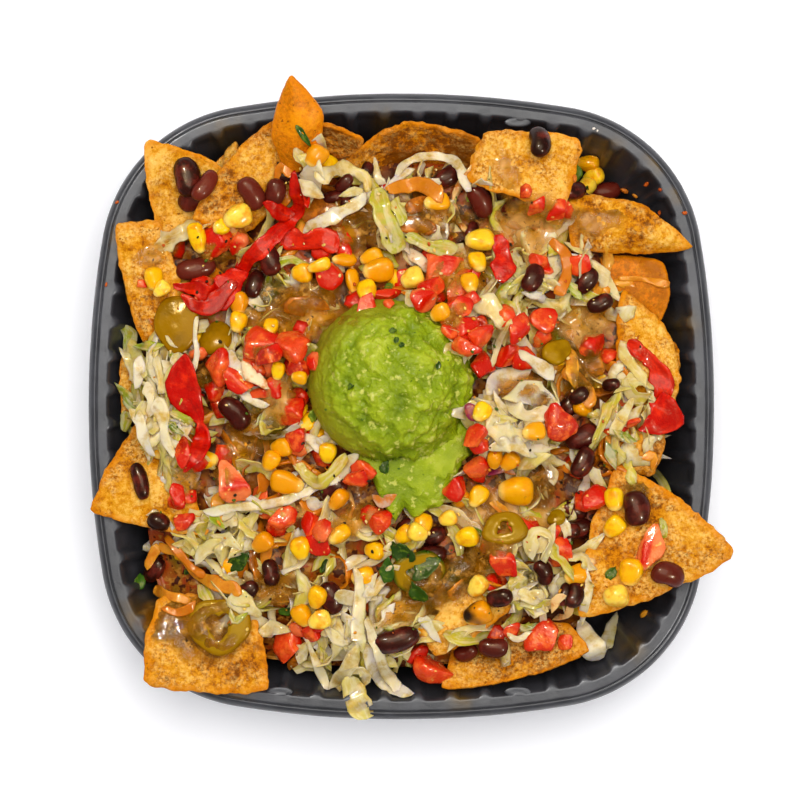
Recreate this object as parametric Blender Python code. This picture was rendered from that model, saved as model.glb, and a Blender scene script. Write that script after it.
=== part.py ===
"""Nachos heaped with toppings in a black moulded tray, in metres with +Z up.

The origin is the middle of the tray's flat underside. +X and +Y run along the
tray's two sides. Every piece is a solid of its own: the tray, the corn chips,
the heap of small toppings that holds them, the scoop of guacamole, and the
larger toppings that lie loose on top. Lengths below are written in
millimetres and turned into metres by MM where a mesh is made.
"""

import math
from dataclasses import dataclass

import bmesh
import bpy
import numpy as np
from mathutils import Vector
from mathutils.bvhtree import BVHTree

MM = 0.001

# The tray: a square whose sides and corners are arcs that meet smoothly.
HALF_WIDTH = 116.0
CORNER_RADIUS = 59.0
SIDE_ARC_DEG = 9.5
TRAY_HEIGHT = 45.0
WALL = 0.8
FLANGE_OUTER_INSET = 2.6
FLANGE_INNER_INSET = 7.2
SKIRT_DROP = 4.5
POCKETS = 60
POCKET_HALF = 3.8
RIB_START = 4.8
FLUTE_DEPTH = 2.0
WALL_FOOT_INSET = 21.5
WALL_FOOT_Z = 6.5
FLOOR_INSET = 30.0
FLOOR_CORNER_INSET = 25.5
FLOOR_CORNER_Z = 2.2

# Clearances between solids.
GAP = 0.35
SLOT_GAP = 0.45

# The chips.
CHIP_THICKNESS = 2.0
CHIP_POINTS_PER_SIDE = 4
CHIP_CORNER_CUT = 0.12

# The heap of small toppings. Each scant place is (direction in degrees, how
# much further the heap keeps from the wall there, half-width in degrees).
HEAP_COLUMNS = 32
HEAP_RINGS = (1.0, 0.88, 0.72, 0.54, 0.36, 0.18)
HEAP_REACH = 108.0
HEAP_FLOOR_Z = 1.4
HEAP_SIDE_Z = 32.0
HEAP_EDGE_Z = 41.0
HEAP_TOP_Z = 57.0
HEAP_FLOOR_INSET = 32.0
HEAP_SIDE_INSET = 12.5
HEAP_RIM_INSET = 16.5
HEAP_ROOM = 3.0
SCANT_PLACES = ((-45.0, 10.0, 24.0), (44.0, 9.0, 20.0), (-10.0, 6.0, 20.0), (80.0, 4.0, 22.0))

# The guacamole scoop and the flap that trails from it.
SCOOP_CENTRE = (-4.5, 9.5)
SCOOP_RADIUS = 30.0
SCOOP_HEIGHT = 27.0
FLAP_DIRECTION_DEG = -84.0
FLAP_HALF_ANGLE_DEG = 42.0
FLAP_REACH = 53.0
FLAP_THICKNESS = 5.5
FLAP_LEAST_SHARE = 0.35
SCOOP_COLUMNS = 26
SCOOP_RINGS = (0.97, 0.86, 0.70, 0.50, 0.26)
SCOOP_GAP = 0.6

# The loose toppings.
MOST_SLOPE = 0.55
SLICE_COLUMNS = 12
SLICE_THICKNESS = 3.0
SLICE_EDGE_ROUND = 0.6
STRIP_POINTS = 7


def clear_scene():
    """Removes whatever the file opened with."""
    for obj in list(bpy.data.objects):
        bpy.data.objects.remove(obj, do_unlink=True)


def finish(name, colour, roughness, metallic=0.0):
    """A Principled material of one colour."""
    material = bpy.data.materials.new(name)
    material.use_nodes = True
    shader = material.node_tree.nodes["Principled BSDF"]
    shader.inputs["Base Color"].default_value = (*colour, 1.0)
    shader.inputs["Roughness"].default_value = roughness
    shader.inputs["Metallic"].default_value = metallic
    material.diffuse_color = (*colour, 1.0)
    return material


# --- The tray's outline ------------------------------------------------------


def arc_centres():
    """(side radius, distance of a side's centre past the middle, corner centre)."""
    angle = math.radians(SIDE_ARC_DEG)
    between = (HALF_WIDTH - CORNER_RADIUS) / (math.sin(angle) + 1 - math.cos(angle))
    side_radius = CORNER_RADIUS + between
    return side_radius, side_radius - HALF_WIDTH, between * math.sin(angle)


def outline(inset, normals):
    """Points of the outline moved in by the inset, one for each normal angle."""
    side_radius, side_shift, corner = arc_centres()
    angle = math.radians(SIDE_ARC_DEG)
    quarter = np.round(normals / (math.pi / 2))
    turned = normals - quarter * (math.pi / 2)
    on_side = np.abs(turned) <= angle
    radius = np.where(on_side, side_radius, CORNER_RADIUS) - inset
    x = np.where(on_side, -side_shift, corner) + radius * np.cos(turned)
    y = np.where(on_side, 0.0, corner * np.sign(turned)) + radius * np.sin(turned)
    c, s = np.cos(quarter * (math.pi / 2)), np.sin(quarter * (math.pi / 2))
    return np.stack([c * x - s * y, s * x + c * y], axis=1)


def normals_at(share):
    """Normal angles at equal steps of length along the wall: share 1 is once round."""
    side_radius = arc_centres()[0] - FLANGE_INNER_INSET
    corner_radius = CORNER_RADIUS - FLANGE_INNER_INSET
    angle = math.radians(SIDE_ARC_DEG)
    side = side_radius * angle
    corner = corner_radius * (math.pi / 2 - 2 * angle)
    quarter_length = 2 * side + corner
    along = np.asarray(share) * 4 * quarter_length
    quarter = np.floor(along / quarter_length)
    rest = along - quarter * quarter_length
    first = rest / side_radius
    middle = angle + (rest - side) / corner_radius
    last = math.pi / 2 - (quarter_length - rest) / side_radius
    turned = np.where(rest < side, first, np.where(rest < side + corner, middle, last))
    return quarter * (math.pi / 2) + turned


def wall_length():
    """Length of the wall once round, in mm."""
    side_radius = arc_centres()[0] - FLANGE_INNER_INSET
    angle = math.radians(SIDE_ARC_DEG)
    corner = (CORNER_RADIUS - FLANGE_INNER_INSET) * (math.pi / 2 - 2 * angle)
    return 4 * (2 * side_radius * angle + corner)


# --- Mesh building -----------------------------------------------------------


class Body:
    """Points and faces of a solid, gathered loop by loop."""

    def __init__(self):
        self.points = []
        self.faces = []

    def loop(self, xy, z):
        """Adds a loop of points at a height, and returns their numbers."""
        first = len(self.points)
        heights = np.broadcast_to(z, (len(xy),))
        self.points += [(x, y, h) for (x, y), h in zip(xy, heights)]
        return np.arange(first, first + len(xy))

    def point(self, x, y, z):
        """Adds one point, and returns its number."""
        self.points.append((x, y, z))
        return len(self.points) - 1

    def band(self, first, second):
        """Quads between two loops with as many points as each other."""
        after_first, after_second = np.roll(first, -1), np.roll(second, -1)
        self.faces += zip(first, after_first, after_second, second)

    def fan(self, loop, centre):
        """Triangles from a loop to one point."""
        self.faces += [(a, b, centre) for a, b in zip(loop, np.roll(loop, -1))]

    def step(self, fine, coarse):
        """Joins a loop of four points a pocket to one of two points a pocket."""
        rib_end, start, end, rib = (fine[i::4] for i in range(4))
        centre, middle = coarse[0::2], coarse[1::2]
        next_rib_end, next_start = np.roll(rib_end, -1), np.roll(start, -1)
        next_centre = np.roll(centre, -1)
        self.faces += zip(centre, start, end)
        self.faces += zip(centre, end, rib, middle)
        self.faces += zip(middle, rib, next_rib_end)
        self.faces += zip(middle, next_rib_end, next_start, next_centre)


def make_solid(name, points, faces, material, smooth_deg=40.0):
    """Makes the object, in metres, with its faces turned out."""
    mesh = bpy.data.meshes.new(name)
    scaled = [tuple(float(v) * MM for v in point) for point in points]
    mesh.from_pydata(scaled, [], [tuple(int(i) for i in face) for face in faces])
    work = bmesh.new()
    work.from_mesh(mesh)
    bmesh.ops.triangulate(work, faces=work.faces)
    bmesh.ops.recalc_face_normals(work, faces=work.faces)
    work.to_mesh(mesh)
    work.free()
    mesh.shade_smooth()
    mesh.set_sharp_from_angle(angle=math.radians(smooth_deg))
    mesh.materials.append(material)
    obj = bpy.data.objects.new(name, mesh)
    bpy.context.scene.collection.objects.link(obj)
    return obj


def mesh_arrays(obj):
    """The object's points in mm and its triangles."""
    mesh = obj.data
    mesh.calc_loop_triangles()
    points = np.empty(len(mesh.vertices) * 3)
    mesh.vertices.foreach_get("co", points)
    faces = np.empty(len(mesh.loop_triangles) * 3, np.int32)
    mesh.loop_triangles.foreach_get("vertices", faces)
    return points.reshape(-1, 3) / MM, faces.reshape(-1, 3)


# --- Laying one piece on another --------------------------------------------


class Ground:
    """The solids placed so far, seen from above."""

    STEP = 0.45
    TOP = 400.0

    def __init__(self):
        self.trees = []

    def add(self, obj):
        """Counts the object as ground for what comes later."""
        points, faces = mesh_arrays(obj)
        tree = BVHTree.FromPolygons(points.tolist(), faces.tolist())
        self.trees.append((tree, points.min(axis=0), points.max(axis=0)))

    def height(self, x, y, lowest=0.0):
        """Height of the highest solid over a place."""
        best = lowest
        for tree, low, high in self.trees:
            if low[0] <= x <= high[0] and low[1] <= y <= high[1] and high[2] > best:
                hit = tree.ray_cast(Vector((x, y, self.TOP)), Vector((0, 0, -1)))[0]
                if hit is not None:
                    best = max(best, hit.z)
        return best

    def lift(self, points, faces):
        """How far a piece has to rise so that it just clears everything below it.

        The ground is taken at its highest within a step to every side, so
        that pieces also keep a little sideways room.
        """
        tree = BVHTree.FromPolygons(points.tolist(), [tuple(f) for f in faces])
        low, high = points.min(axis=0), points.max(axis=0)
        xs = np.arange(low[0] - self.STEP, high[0] + 2 * self.STEP, self.STEP)
        ys = np.arange(low[1] - self.STEP, high[1] + 2 * self.STEP, self.STEP)
        under = np.full((len(xs), len(ys)), self.TOP)
        below = np.zeros((len(xs), len(ys)))
        for i, x in enumerate(xs):
            for j, y in enumerate(ys):
                hit = tree.ray_cast(Vector((x, y, -self.TOP)), Vector((0, 0, 1)))[0]
                under[i, j] = self.TOP if hit is None else hit.z
                below[i, j] = self.height(x, y)
        spread = below.copy()
        for shift_x in (-1, 0, 1):
            for shift_y in (-1, 0, 1):
                moved = np.roll(below, (shift_x, shift_y), axis=(0, 1))
                spread = np.maximum(spread, moved)
        return float((spread - under)[1:-1, 1:-1].max()) + GAP

    def slope(self, x, y, reach):
        """Unit normal of the ground's mean slope round a place."""
        steps = np.linspace(-reach, reach, 5)
        spots = [(dx, dy, self.height(x + dx, y + dy)) for dx in steps for dy in steps]
        spots = np.array(spots)
        matrix = np.column_stack([spots[:, 0], spots[:, 1], np.ones(len(spots))])
        gx, gy, _ = np.linalg.lstsq(matrix, spots[:, 2], rcond=None)[0]
        steep = math.hypot(gx, gy)
        if steep > MOST_SLOPE:
            gx, gy = gx * MOST_SLOPE / steep, gy * MOST_SLOPE / steep
        normal = np.array([-gx, -gy, 1.0])
        return normal / np.linalg.norm(normal)


def axes_on(normal, heading_deg):
    """Rows: the piece's length, width and height directions on a slope."""
    heading = math.radians(heading_deg)
    length = np.array([math.cos(heading), math.sin(heading), 0.0])
    length -= normal * length.dot(normal)
    length /= np.linalg.norm(length)
    return np.array([length, np.cross(normal, length), normal])


# --- Tray --------------------------------------------------------------------


def build_tray():
    """A thin moulded shell: floor, fluted wall, flat flange and outer skirt."""
    pitch = wall_length() / POCKETS
    offsets = np.array([-RIB_START, -POCKET_HALF, POCKET_HALF, RIB_START]) / pitch
    pocket = np.arange(POCKETS)[:, None]
    fine = normals_at(((pocket + offsets) / POCKETS).ravel() % 1.0)
    coarse = normals_at(((pocket + np.array([0.0, 0.5])) / POCKETS).ravel())
    rib = np.tile([1.0, 0.0, 0.0, 1.0], POCKETS)

    def fluted(inset, depth):
        """Loop whose ribs stand further in than its pockets."""
        side = outline(inset, fine)
        inward = outline(inset + depth, fine)
        return side + (inward - side) * rib[:, None]

    def plain(inset):
        """Loop without flutes."""
        return outline(inset, coarse)

    top = TRAY_HEIGHT
    body = Body()
    floor = body.loop(plain(FLOOR_INSET), WALL)
    corner = body.loop(plain(FLOOR_CORNER_INSET), FLOOR_CORNER_Z)
    foot = body.loop(fluted(WALL_FOOT_INSET, FLUTE_DEPTH / 2), WALL_FOOT_Z)
    edge = body.loop(fluted(FLANGE_INNER_INSET, FLUTE_DEPTH), top)
    shoulder = body.loop(plain(FLANGE_OUTER_INSET), top)
    hem = body.loop(plain(0.0), top - SKIRT_DROP)
    hem_inner = body.loop(plain(WALL), top - SKIRT_DROP)
    shoulder_under = body.loop(plain(FLANGE_OUTER_INSET + WALL), top - WALL)
    edge_under = body.loop(fluted(FLANGE_INNER_INSET - WALL, FLUTE_DEPTH), top - WALL)
    foot_outer = body.loop(fluted(WALL_FOOT_INSET - WALL, FLUTE_DEPTH / 2), WALL_FOOT_Z - WALL / 2)
    base = body.loop(plain(FLOOR_CORNER_INSET), 0.0)

    body.fan(floor, body.point(0, 0, WALL))
    body.band(floor, corner)
    body.step(foot, corner)
    body.band(foot, edge)
    body.step(edge, shoulder)
    body.band(shoulder, hem)
    body.band(hem, hem_inner)
    body.band(hem_inner, shoulder_under)
    body.step(edge_under, shoulder_under)
    body.band(edge_under, foot_outer)
    body.step(foot_outer, base)
    body.fan(base, body.point(0, 0, 0))
    black = finish("black_plastic", (0.018, 0.018, 0.020), 0.35)
    return make_solid("tray", body.points, body.faces, black)


# --- Chips -------------------------------------------------------------------


@dataclass
class Chip:
    """A corn chip: its corners in mm, and how its sheet departs from flat.

    crown lifts the middle; wave lifts two opposite sides and lowers the other
    two, with phase_deg turning it; bow swells each side by that share of its
    length.
    """

    name: str
    corners: tuple
    crown: float = 2.5
    wave: float = 1.0
    phase_deg: float = 0.0
    bow: float = 0.05
    smooth: bool = False


CHIPS = (
    Chip("chip_16", ((-61, 99, 44), (-69, 90, 40), (-57, 84, 40)), crown=0.8),
    Chip("chip_14", ((-94, 98.5, 51), (-61, 86, 47), (-73, 62, 42), (-90, 63, 44)),
         crown=-2.5, wave=1.5),
    Chip("chip_13", ((-106, 67.5, 48), (-90, 69, 46), (-80, 40, 43), (-95, 22, 43)), crown=3.0),
    Chip("chip_15", ((-48, 105.5, 54), (-78, 69.5, 52), (-60, 62, 47), (-36, 82, 48)), crown=3.0),
    Chip("chip_03", ((-22, 91, 48), (2, 104.5, 54), (30, 99, 52), (24, 86, 38), (-6, 84, 36)),
         crown=-3.0),
    Chip("chip_02", ((-38, 104.5, 57), (-13, 97, 53), (-22, 91, 38), (-33, 93, 38)), crown=-2.0),
    Chip("chip_01", ((-40, 119.5, 70), (-28, 106, 63), (-31, 90, 50), (-41, 84, 46), (-48, 100, 56)),
         crown=4.0, wave=0.5, smooth=True),
    Chip("chip_04", ((30, 101, 49), (66, 98, 52), (60, 73, 51), (23, 83, 50)), crown=2.0, wave=-1.5),
    Chip("chip_06", ((73, 56, 42), (97, 54, 43), (100, 42, 42), (96, 31, 41), (76, 34, 40)),
         crown=1.5, smooth=True),
    Chip("chip_05", ((62, 78, 49), (88, 75.5, 49), (108.5, 58, 48.5), (62, 58, 48)),
         crown=3.5, wave=1.5),
    Chip("chip_19", ((92, 30, 37), (103, 22, 38), (103, 7, 38), (92, 4, 37)), crown=0.5),
    Chip("chip_07", ((81, 44, 47), (99, 29, 45), (103, 8, 44), (97, -10, 44), (80, 4, 46)), crown=2.5),
    Chip("chip_08", ((76, -6, 43), (98, -8, 40), (93, -26, 40), (74, -22, 42)), crown=2.0, wave=1.5),
    Chip("chip_09", ((79, -20, 47), (124.5, -54, 51), (64, -79, 47)), crown=2.0, wave=1.0, phase_deg=60),
    Chip("chip_17", ((-103.5, 20, 39), (-96, 21, 40), (-94, -4, 40), (-103, -6, 39)), crown=0.5),
    Chip("chip_12", ((-115, -39, 48), (-97, -4, 46), (-70, -47.5, 47)),
         crown=1.5, wave=1.0, phase_deg=200),
    Chip("chip_11", ((-95.5, -102.5, 51), (-48, -104.5, 50), (-56, -72, 45), (-90, -70, 43)),
         crown=1.5, wave=1.5),
    Chip("chip_10", ((15, -105, 43), (70, -91, 46), (62, -80, 41), (20, -88, 36)), crown=-2.5),
    Chip("chip_18", ((12, -93.5, 49), (42, -73, 50), (24, -66, 48), (6, -80, 48)), crown=2.0),
)


def chip_edge(chip, per_side, grow=0.0):
    """Loop of points round the chip, its corners rounded off.

    Along a side from one corner to the next, the place at share w is on the
    straight line, moved out by bow * length * 4w(1 - w). Nearer to a corner
    than CHIP_CORNER_CUT the loop follows a parabola that touches both sides.
    """
    corners = np.array(chip.corners, float)
    middle = corners.mean(axis=0)
    following = np.roll(corners, -1, axis=0)
    previous = np.roll(corners, 1, axis=0)
    share = (np.arange(per_side) + 0.5) / per_side - 0.5
    loop = []
    for before, corner, after in zip(previous, corners, following):
        for w in share:
            to = after if w > 0 else before
            along = abs(w)
            straight = corner + (to - corner) * along
            outward = (corner + to) / 2 - middle
            outward /= np.linalg.norm(outward)
            swell = chip.bow * np.linalg.norm(to - corner) * 4 * along * (1 - along)
            place = straight + outward * swell
            if along < CHIP_CORNER_CUT:
                inner = (1 - along / CHIP_CORNER_CUT) ** 2 * CHIP_CORNER_CUT / 2
                place += ((before + after) / 2 - corner) * inner
            away = place - middle
            loop.append(place + away / np.linalg.norm(away) * grow)
    return np.array(loop), middle


def chip_normal(chip):
    """Unit normal of the chip's corners, pointing up."""
    corners = np.array(chip.corners, float)
    normal = np.cross(corners, np.roll(corners, -1, axis=0)).sum(axis=0)
    normal /= np.linalg.norm(normal)
    return normal if normal[2] > 0 else -normal


def chip_mesh(chip, thickness, grow=0.0):
    """A curved sheet with thickness.

    From the middle (s = 0) to the edge (s = 1), the place is on the straight
    line to the edge, lifted by crown (1 - s^2) + wave s^2 cos(2t + phase).
    """
    edge, middle = chip_edge(chip, CHIP_POINTS_PER_SIDE, grow)
    normal = chip_normal(chip)
    turn = np.linspace(0, 2 * math.pi, len(edge), endpoint=False)
    ripple = chip.wave * np.cos(2 * turn + math.radians(chip.phase_deg))
    body = Body()
    loops = []
    for side in (1, -1):
        half = normal * thickness / 2 * side
        pole = body.point(*(middle + normal * chip.crown + half))
        inner = None
        for s in (0.55, 1.0):
            lift = chip.crown * (1 - s * s) + ripple * s * s
            ring = middle + (edge - middle) * s + np.outer(lift, normal) + half
            numbers = body.loop(ring[:, :2], ring[:, 2])
            if inner is None:
                body.fan(numbers, pole)
            else:
                body.band(inner, numbers)
            inner = numbers
        loops.append(inner)
    body.band(loops[0], loops[1])
    return np.array(body.points), body.faces


def build_chips(ground):
    """Lays the chips one after another, each lifted clear of those below it."""
    rough = finish("corn_chip", (0.80, 0.52, 0.16), 0.60)
    glossy = finish("fried_corn_chip", (0.82, 0.40, 0.05), 0.40)
    cutters = []
    for chip in CHIPS:
        points, faces = chip_mesh(chip, CHIP_THICKNESS)
        lift = max(0.0, ground.lift(points, faces))
        points[:, 2] += lift
        obj = make_solid(chip.name, points, faces, glossy if chip.smooth else rough)
        ground.add(obj)
        slot, slot_faces = chip_mesh(chip, CHIP_THICKNESS + 2 * SLOT_GAP, SLOT_GAP)
        slot[:, 2] += lift
        cutter = make_solid(chip.name + "_slot", slot, slot_faces, rough)
        cutter.hide_render = True
        cutter.display_type = "WIRE"
        cutters.append(cutter)
    return cutters


# --- Heap of small toppings --------------------------------------------------


def room_at(direction):
    """How far the heap's edge keeps from the wall in a direction, in mm.

    It is HEAP_ROOM all round, and swells by smooth bumps at the scant places.
    """
    room = np.full(len(direction), HEAP_ROOM)
    for centre, height, width in SCANT_PLACES:
        away = (np.degrees(direction) - centre + 180.0) % 360.0 - 180.0
        room += height * np.exp(-((away / width) ** 2))
    return room


def mound(x, y):
    """Height of the heap's top: a dome over the tray with swells and hollows on it."""
    far = np.hypot(x, y) / HEAP_REACH
    dome = HEAP_EDGE_Z + (HEAP_TOP_Z - HEAP_EDGE_Z) * np.clip(1 - far**2.2, 0, None)
    swells = 1.6 * np.sin(x / 8.5 + 0.7) * np.cos(y / 9.5) + 1.2 * np.sin((x - y) / 13.0 + 1.0)
    return dome + swells * np.clip(far * 1.8 - 0.3, 0.1, 1.0)


def build_heap(cutters, ground):
    """The heap out to its uneven outline, with a slot for each chip."""
    normals = normals_at(np.arange(HEAP_COLUMNS) / HEAP_COLUMNS)
    edge = outline(0.0, normals)
    room = room_at(np.arctan2(edge[:, 1], edge[:, 0]))
    inward = np.stack([np.cos(normals), np.sin(normals)], axis=1)

    def inset(by):
        """The tray's outline moved in by the amounts given."""
        return edge - inward * np.broadcast_to(by, (HEAP_COLUMNS,))[:, None]

    body = Body()
    floor = body.loop(inset(HEAP_FLOOR_INSET), HEAP_FLOOR_Z)
    side = body.loop(inset(HEAP_SIDE_INSET + room), HEAP_SIDE_Z)
    rim = inset(HEAP_RIM_INSET + room)
    body.fan(floor, body.point(0, 0, HEAP_FLOOR_Z))
    body.band(floor, side)
    outer = side
    for share in HEAP_RINGS:
        ring = rim * share
        numbers = body.loop(ring, mound(ring[:, 0], ring[:, 1]))
        body.band(outer, numbers)
        outer = numbers
    body.fan(outer, body.point(0, 0, float(mound(0.0, 0.0))))
    mixed = finish("small_toppings", (0.55, 0.38, 0.14), 0.55)
    heap = make_solid("topping_heap", body.points, body.faces, mixed)
    for cutter in cutters:
        cut = heap.modifiers.new("Slot", "BOOLEAN")
        cut.operation = "DIFFERENCE"
        cut.solver = "EXACT"
        cut.object = cutter
    keep_largest_piece(heap)
    ground.add(heap)


def keep_largest_piece(obj):
    """Applies the object's modifiers and drops the crumbs they cut loose."""
    graph = bpy.context.evaluated_depsgraph_get()
    cut = bmesh.new()
    cut.from_mesh(obj.evaluated_get(graph).to_mesh())
    obj.modifiers.clear()
    bmesh.ops.triangulate(cut, faces=cut.faces)
    left = set(cut.faces)
    pieces = []
    while left:
        waiting = [left.pop()]
        piece = list(waiting)
        while waiting:
            face = waiting.pop()
            near = {other for edge in face.edges for other in edge.link_faces} & left
            left -= near
            waiting += near
            piece += near
        pieces.append(piece)
    pieces.sort(key=lambda faces: sum(face.calc_area() for face in faces))
    crumbs = [face for piece in pieces[:-1] for face in piece]
    bmesh.ops.delete(cut, geom=crumbs, context="FACES")
    cut.to_mesh(obj.data)
    cut.free()
    obj.data.shade_smooth()
    obj.data.set_sharp_from_angle(angle=math.radians(40.0))


# --- Guacamole ---------------------------------------------------------------


def scoop_reach(direction):
    """Distance from the scoop's middle to its edge: a circle with one flap."""
    away = (np.degrees(direction) - FLAP_DIRECTION_DEG + 180.0) % 360.0 - 180.0
    flap = np.clip(1 - np.abs(away) / FLAP_HALF_ANGLE_DEG, 0, 1) ** 0.6
    ragged = 1.5 * np.sin(direction * 11) + 1.0 * np.sin(direction * 17)
    return SCOOP_RADIUS + (FLAP_REACH - SCOOP_RADIUS + ragged) * flap


def build_guacamole(ground):
    """A ball scoop pressed on the heap, its flap lying down the slope."""
    direction = np.linspace(0, 2 * math.pi, SCOOP_COLUMNS, endpoint=False)
    reach = scoop_reach(direction)
    cx, cy = SCOOP_CENTRE
    body = Body()

    def ring(share):
        """The loop at a share of the reach, and its distance from the middle."""
        away = reach * share
        x, y = cx + away * np.cos(direction), cy + away * np.sin(direction)
        return x, y, away

    under = None
    for share in (0.5, 1.0):
        x, y, _ = ring(share)
        numbers = body.loop(np.stack([x, y], axis=1), mound(x, y) + SCOOP_GAP)
        if under is None:
            body.fan(numbers, body.point(cx, cy, float(mound(cx, cy)) + SCOOP_GAP))
        else:
            body.band(under, numbers)
        under = numbers
    outer = under
    for share in SCOOP_RINGS:
        x, y, away = ring(share)
        ball = SCOOP_HEIGHT * np.sqrt(np.clip(1 - (away / SCOOP_RADIUS) ** 2, 0, 1))
        fade = np.clip((1 - share) / 0.15, FLAP_LEAST_SHARE, 1.0)
        top = mound(x, y) + SCOOP_GAP + np.maximum(ball, FLAP_THICKNESS * fade)
        numbers = body.loop(np.stack([x, y], axis=1), top)
        body.band(outer, numbers)
        outer = numbers
    crest = float(mound(cx, cy)) + SCOOP_HEIGHT + SCOOP_GAP
    body.fan(outer, body.point(cx, cy, crest))
    points = np.array(body.points)
    points[:, 2] += max(0.0, ground.lift(points, body.faces))
    green = finish("mashed_avocado", (0.24, 0.37, 0.02), 0.50)
    ground.add(make_solid("guacamole", points, body.faces, green))


# --- Loose toppings ----------------------------------------------------------


def round_body(columns, rows, place):
    """Closed body from a place(turn, share) formula, share running pole to pole."""
    body = Body()
    turn = np.linspace(0, 2 * math.pi, columns, endpoint=False)
    shares = np.linspace(0, 1, rows + 2)
    last = None
    for share in shares[1:-1]:
        ring = np.stack(place(turn, np.full(columns, share)), axis=1)
        numbers = body.loop(ring[:, :2], ring[:, 2])
        if last is None:
            pole = np.stack(place(turn[:1], shares[:1]), axis=1)[0]
            body.fan(numbers, body.point(*pole))
        else:
            body.band(last, numbers)
        last = numbers
    pole = np.stack(place(turn[:1], shares[-1:]), axis=1)[0]
    body.fan(last, body.point(*pole))
    return np.array(body.points), body.faces


def bean_body(length, width):
    """An oval along X, bent sideways like a kidney."""

    def place(turn, share):
        angle = share * math.pi
        x = -np.cos(angle) * length / 2
        fat = np.sin(angle) ** 0.8
        y = np.cos(turn) * fat * width / 2 + 0.10 * length * np.cos(angle) ** 2
        z = np.sin(turn) * fat * width * 0.42
        return x, y, z

    return round_body(6, 3, place)


def dice_body(length, width):
    """A cut cube with soft corners, its top slightly turned against its foot."""

    def place(turn, share):
        angle = share * math.pi
        z = -np.sign(np.cos(angle)) * np.abs(np.cos(angle)) ** 0.5 * width * 0.36
        twist = turn + math.pi / 4 + 0.15 * z / width
        around = np.sin(angle) ** 0.5
        squared = 1 / np.maximum(np.abs(np.cos(turn)), np.abs(np.sin(turn)))
        x = np.cos(twist - math.pi / 4) * around * squared * length / 2
        y = np.sin(twist - math.pi / 4) * around * squared * width / 2
        return x, y, z

    return round_body(8, 3, place)


def kernel_body(length, width):
    """A corn kernel: broad and blunt at one end, narrow at the other."""

    def place(turn, share):
        angle = share * math.pi
        x = -np.cos(angle) * length / 2
        taper = 0.78 + 0.22 * np.cos(angle)
        fat = np.sin(angle) ** 0.55 * taper
        return x, np.cos(turn) * fat * width / 2, np.sin(turn) * fat * width * 0.33

    return round_body(6, 3, place)


def slice_body(radius, hole):
    """A round slice with a hole that is open from face to face."""
    half = SLICE_THICKNESS / 2
    turn = np.linspace(0, 2 * math.pi, SLICE_COLUMNS, endpoint=False)
    circle = np.stack([np.cos(turn), np.sin(turn)], axis=1)
    uneven = 1 + 0.05 * np.cos(3 * turn)[:, None]
    body = Body()
    loops = [
        body.loop(circle * uneven * (radius - SLICE_EDGE_ROUND), half),
        body.loop(circle * uneven * radius, 0.0),
        body.loop(circle * uneven * (radius - SLICE_EDGE_ROUND), -half),
        body.loop(circle * hole, -half * 0.8),
        body.loop(circle * hole, half * 0.8),
    ]
    for first, second in zip(loops, loops[1:] + loops[:1]):
        body.band(first, second)
    return np.array(body.points), body.faces


@dataclass
class Loose:
    """A loose topping: kind, place and heading in plan, and its two sizes in mm."""

    kind: str
    x: float
    y: float
    heading_deg: float
    length: float
    width: float


BODIES = {
    "bean": bean_body,
    "tomato_dice": dice_body,
    "corn_kernel": kernel_body,
    "jalapeno_slice": slice_body,
}

LOOSE = (
    Loose("jalapeno_slice", -83.0, 30.5, 0, 10.5, 2.0),
    Loose("jalapeno_slice", -67.5, -80.5, 0, 12.0, 3.0),
    Loose("jalapeno_slice", 37.5, -45.0, 0, 9.5, 2.0),
    Loose("jalapeno_slice", 6.0, -61.0, 0, 10.0, 2.5),
    Loose("bean", -78.5, 84.5, 100, 15, 10),
    Loose("bean", -71.5, 80.5, 55, 13, 7),
    Loose("bean", -54.5, 78.5, 120, 13, 9),
    Loose("bean", -46.0, 78.5, 80, 10, 8),
    Loose("bean", -75.5, 50.5, 15, 15, 8.5),
    Loose("bean", -48.0, 54.5, 110, 12.5, 8.5),
    Loose("bean", 50.3, 96.5, 95, 12.5, 8.5),
    Loose("bean", 29.5, 76.0, 105, 13.5, 8.5),
    Loose("bean", 76.5, 80.8, 10, 12.5, 8.0),
    Loose("bean", -60.5, -2.0, 125, 14, 9.5),
    Loose("bean", -95.5, -27.0, 105, 14, 6.5),
    Loose("bean", -89.0, -42.0, 160, 8.5, 8),
    Loose("bean", -25.5, -70.0, 105, 12.5, 9),
    Loose("bean", -1.5, -86.0, 15, 17.5, 9.5),
    Loose("bean", 86.0, -37.0, 100, 13, 10.5),
    Loose("bean", 98.0, -61.0, 155, 12.5, 9.5),
    Loose("bean", 34.0, -89.0, 5, 11, 8.0),
    Loose("tomato_dice", 90.5, -51.5, 40, 11.5, 10),
    Loose("tomato_dice", 54.0, -84.0, 0, 12.5, 10.5),
    Loose("tomato_dice", 10.5, -98.5, 70, 12.5, 12),
    Loose("tomato_dice", -62.0, -28.0, 100, 14, 11),
    Loose("tomato_dice", 56.0, -6.0, 150, 12.5, 10),
    Loose("corn_kernel", 84.0, -60.5, 80, 10.5, 9.0),
    Loose("corn_kernel", 78.5, -69.0, 15, 9.5, 9.5),
    Loose("corn_kernel", 29.0, 61.5, 5, 11.5, 8),
    Loose("corn_kernel", -42.0, -27.5, 170, 13, 8.5),
    Loose("corn_kernel", 42.0, -31.0, 0, 13.5, 11),
)

LOOSE_FINISHES = {
    "bean": ("black_bean", (0.06, 0.012, 0.014), 0.30),
    "tomato_dice": ("diced_tomato", (0.72, 0.05, 0.02), 0.30),
    "corn_kernel": ("sweet_corn", (0.90, 0.55, 0.01), 0.35),
    "jalapeno_slice": ("pickled_jalapeno", (0.32, 0.25, 0.02), 0.30),
}


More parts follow.
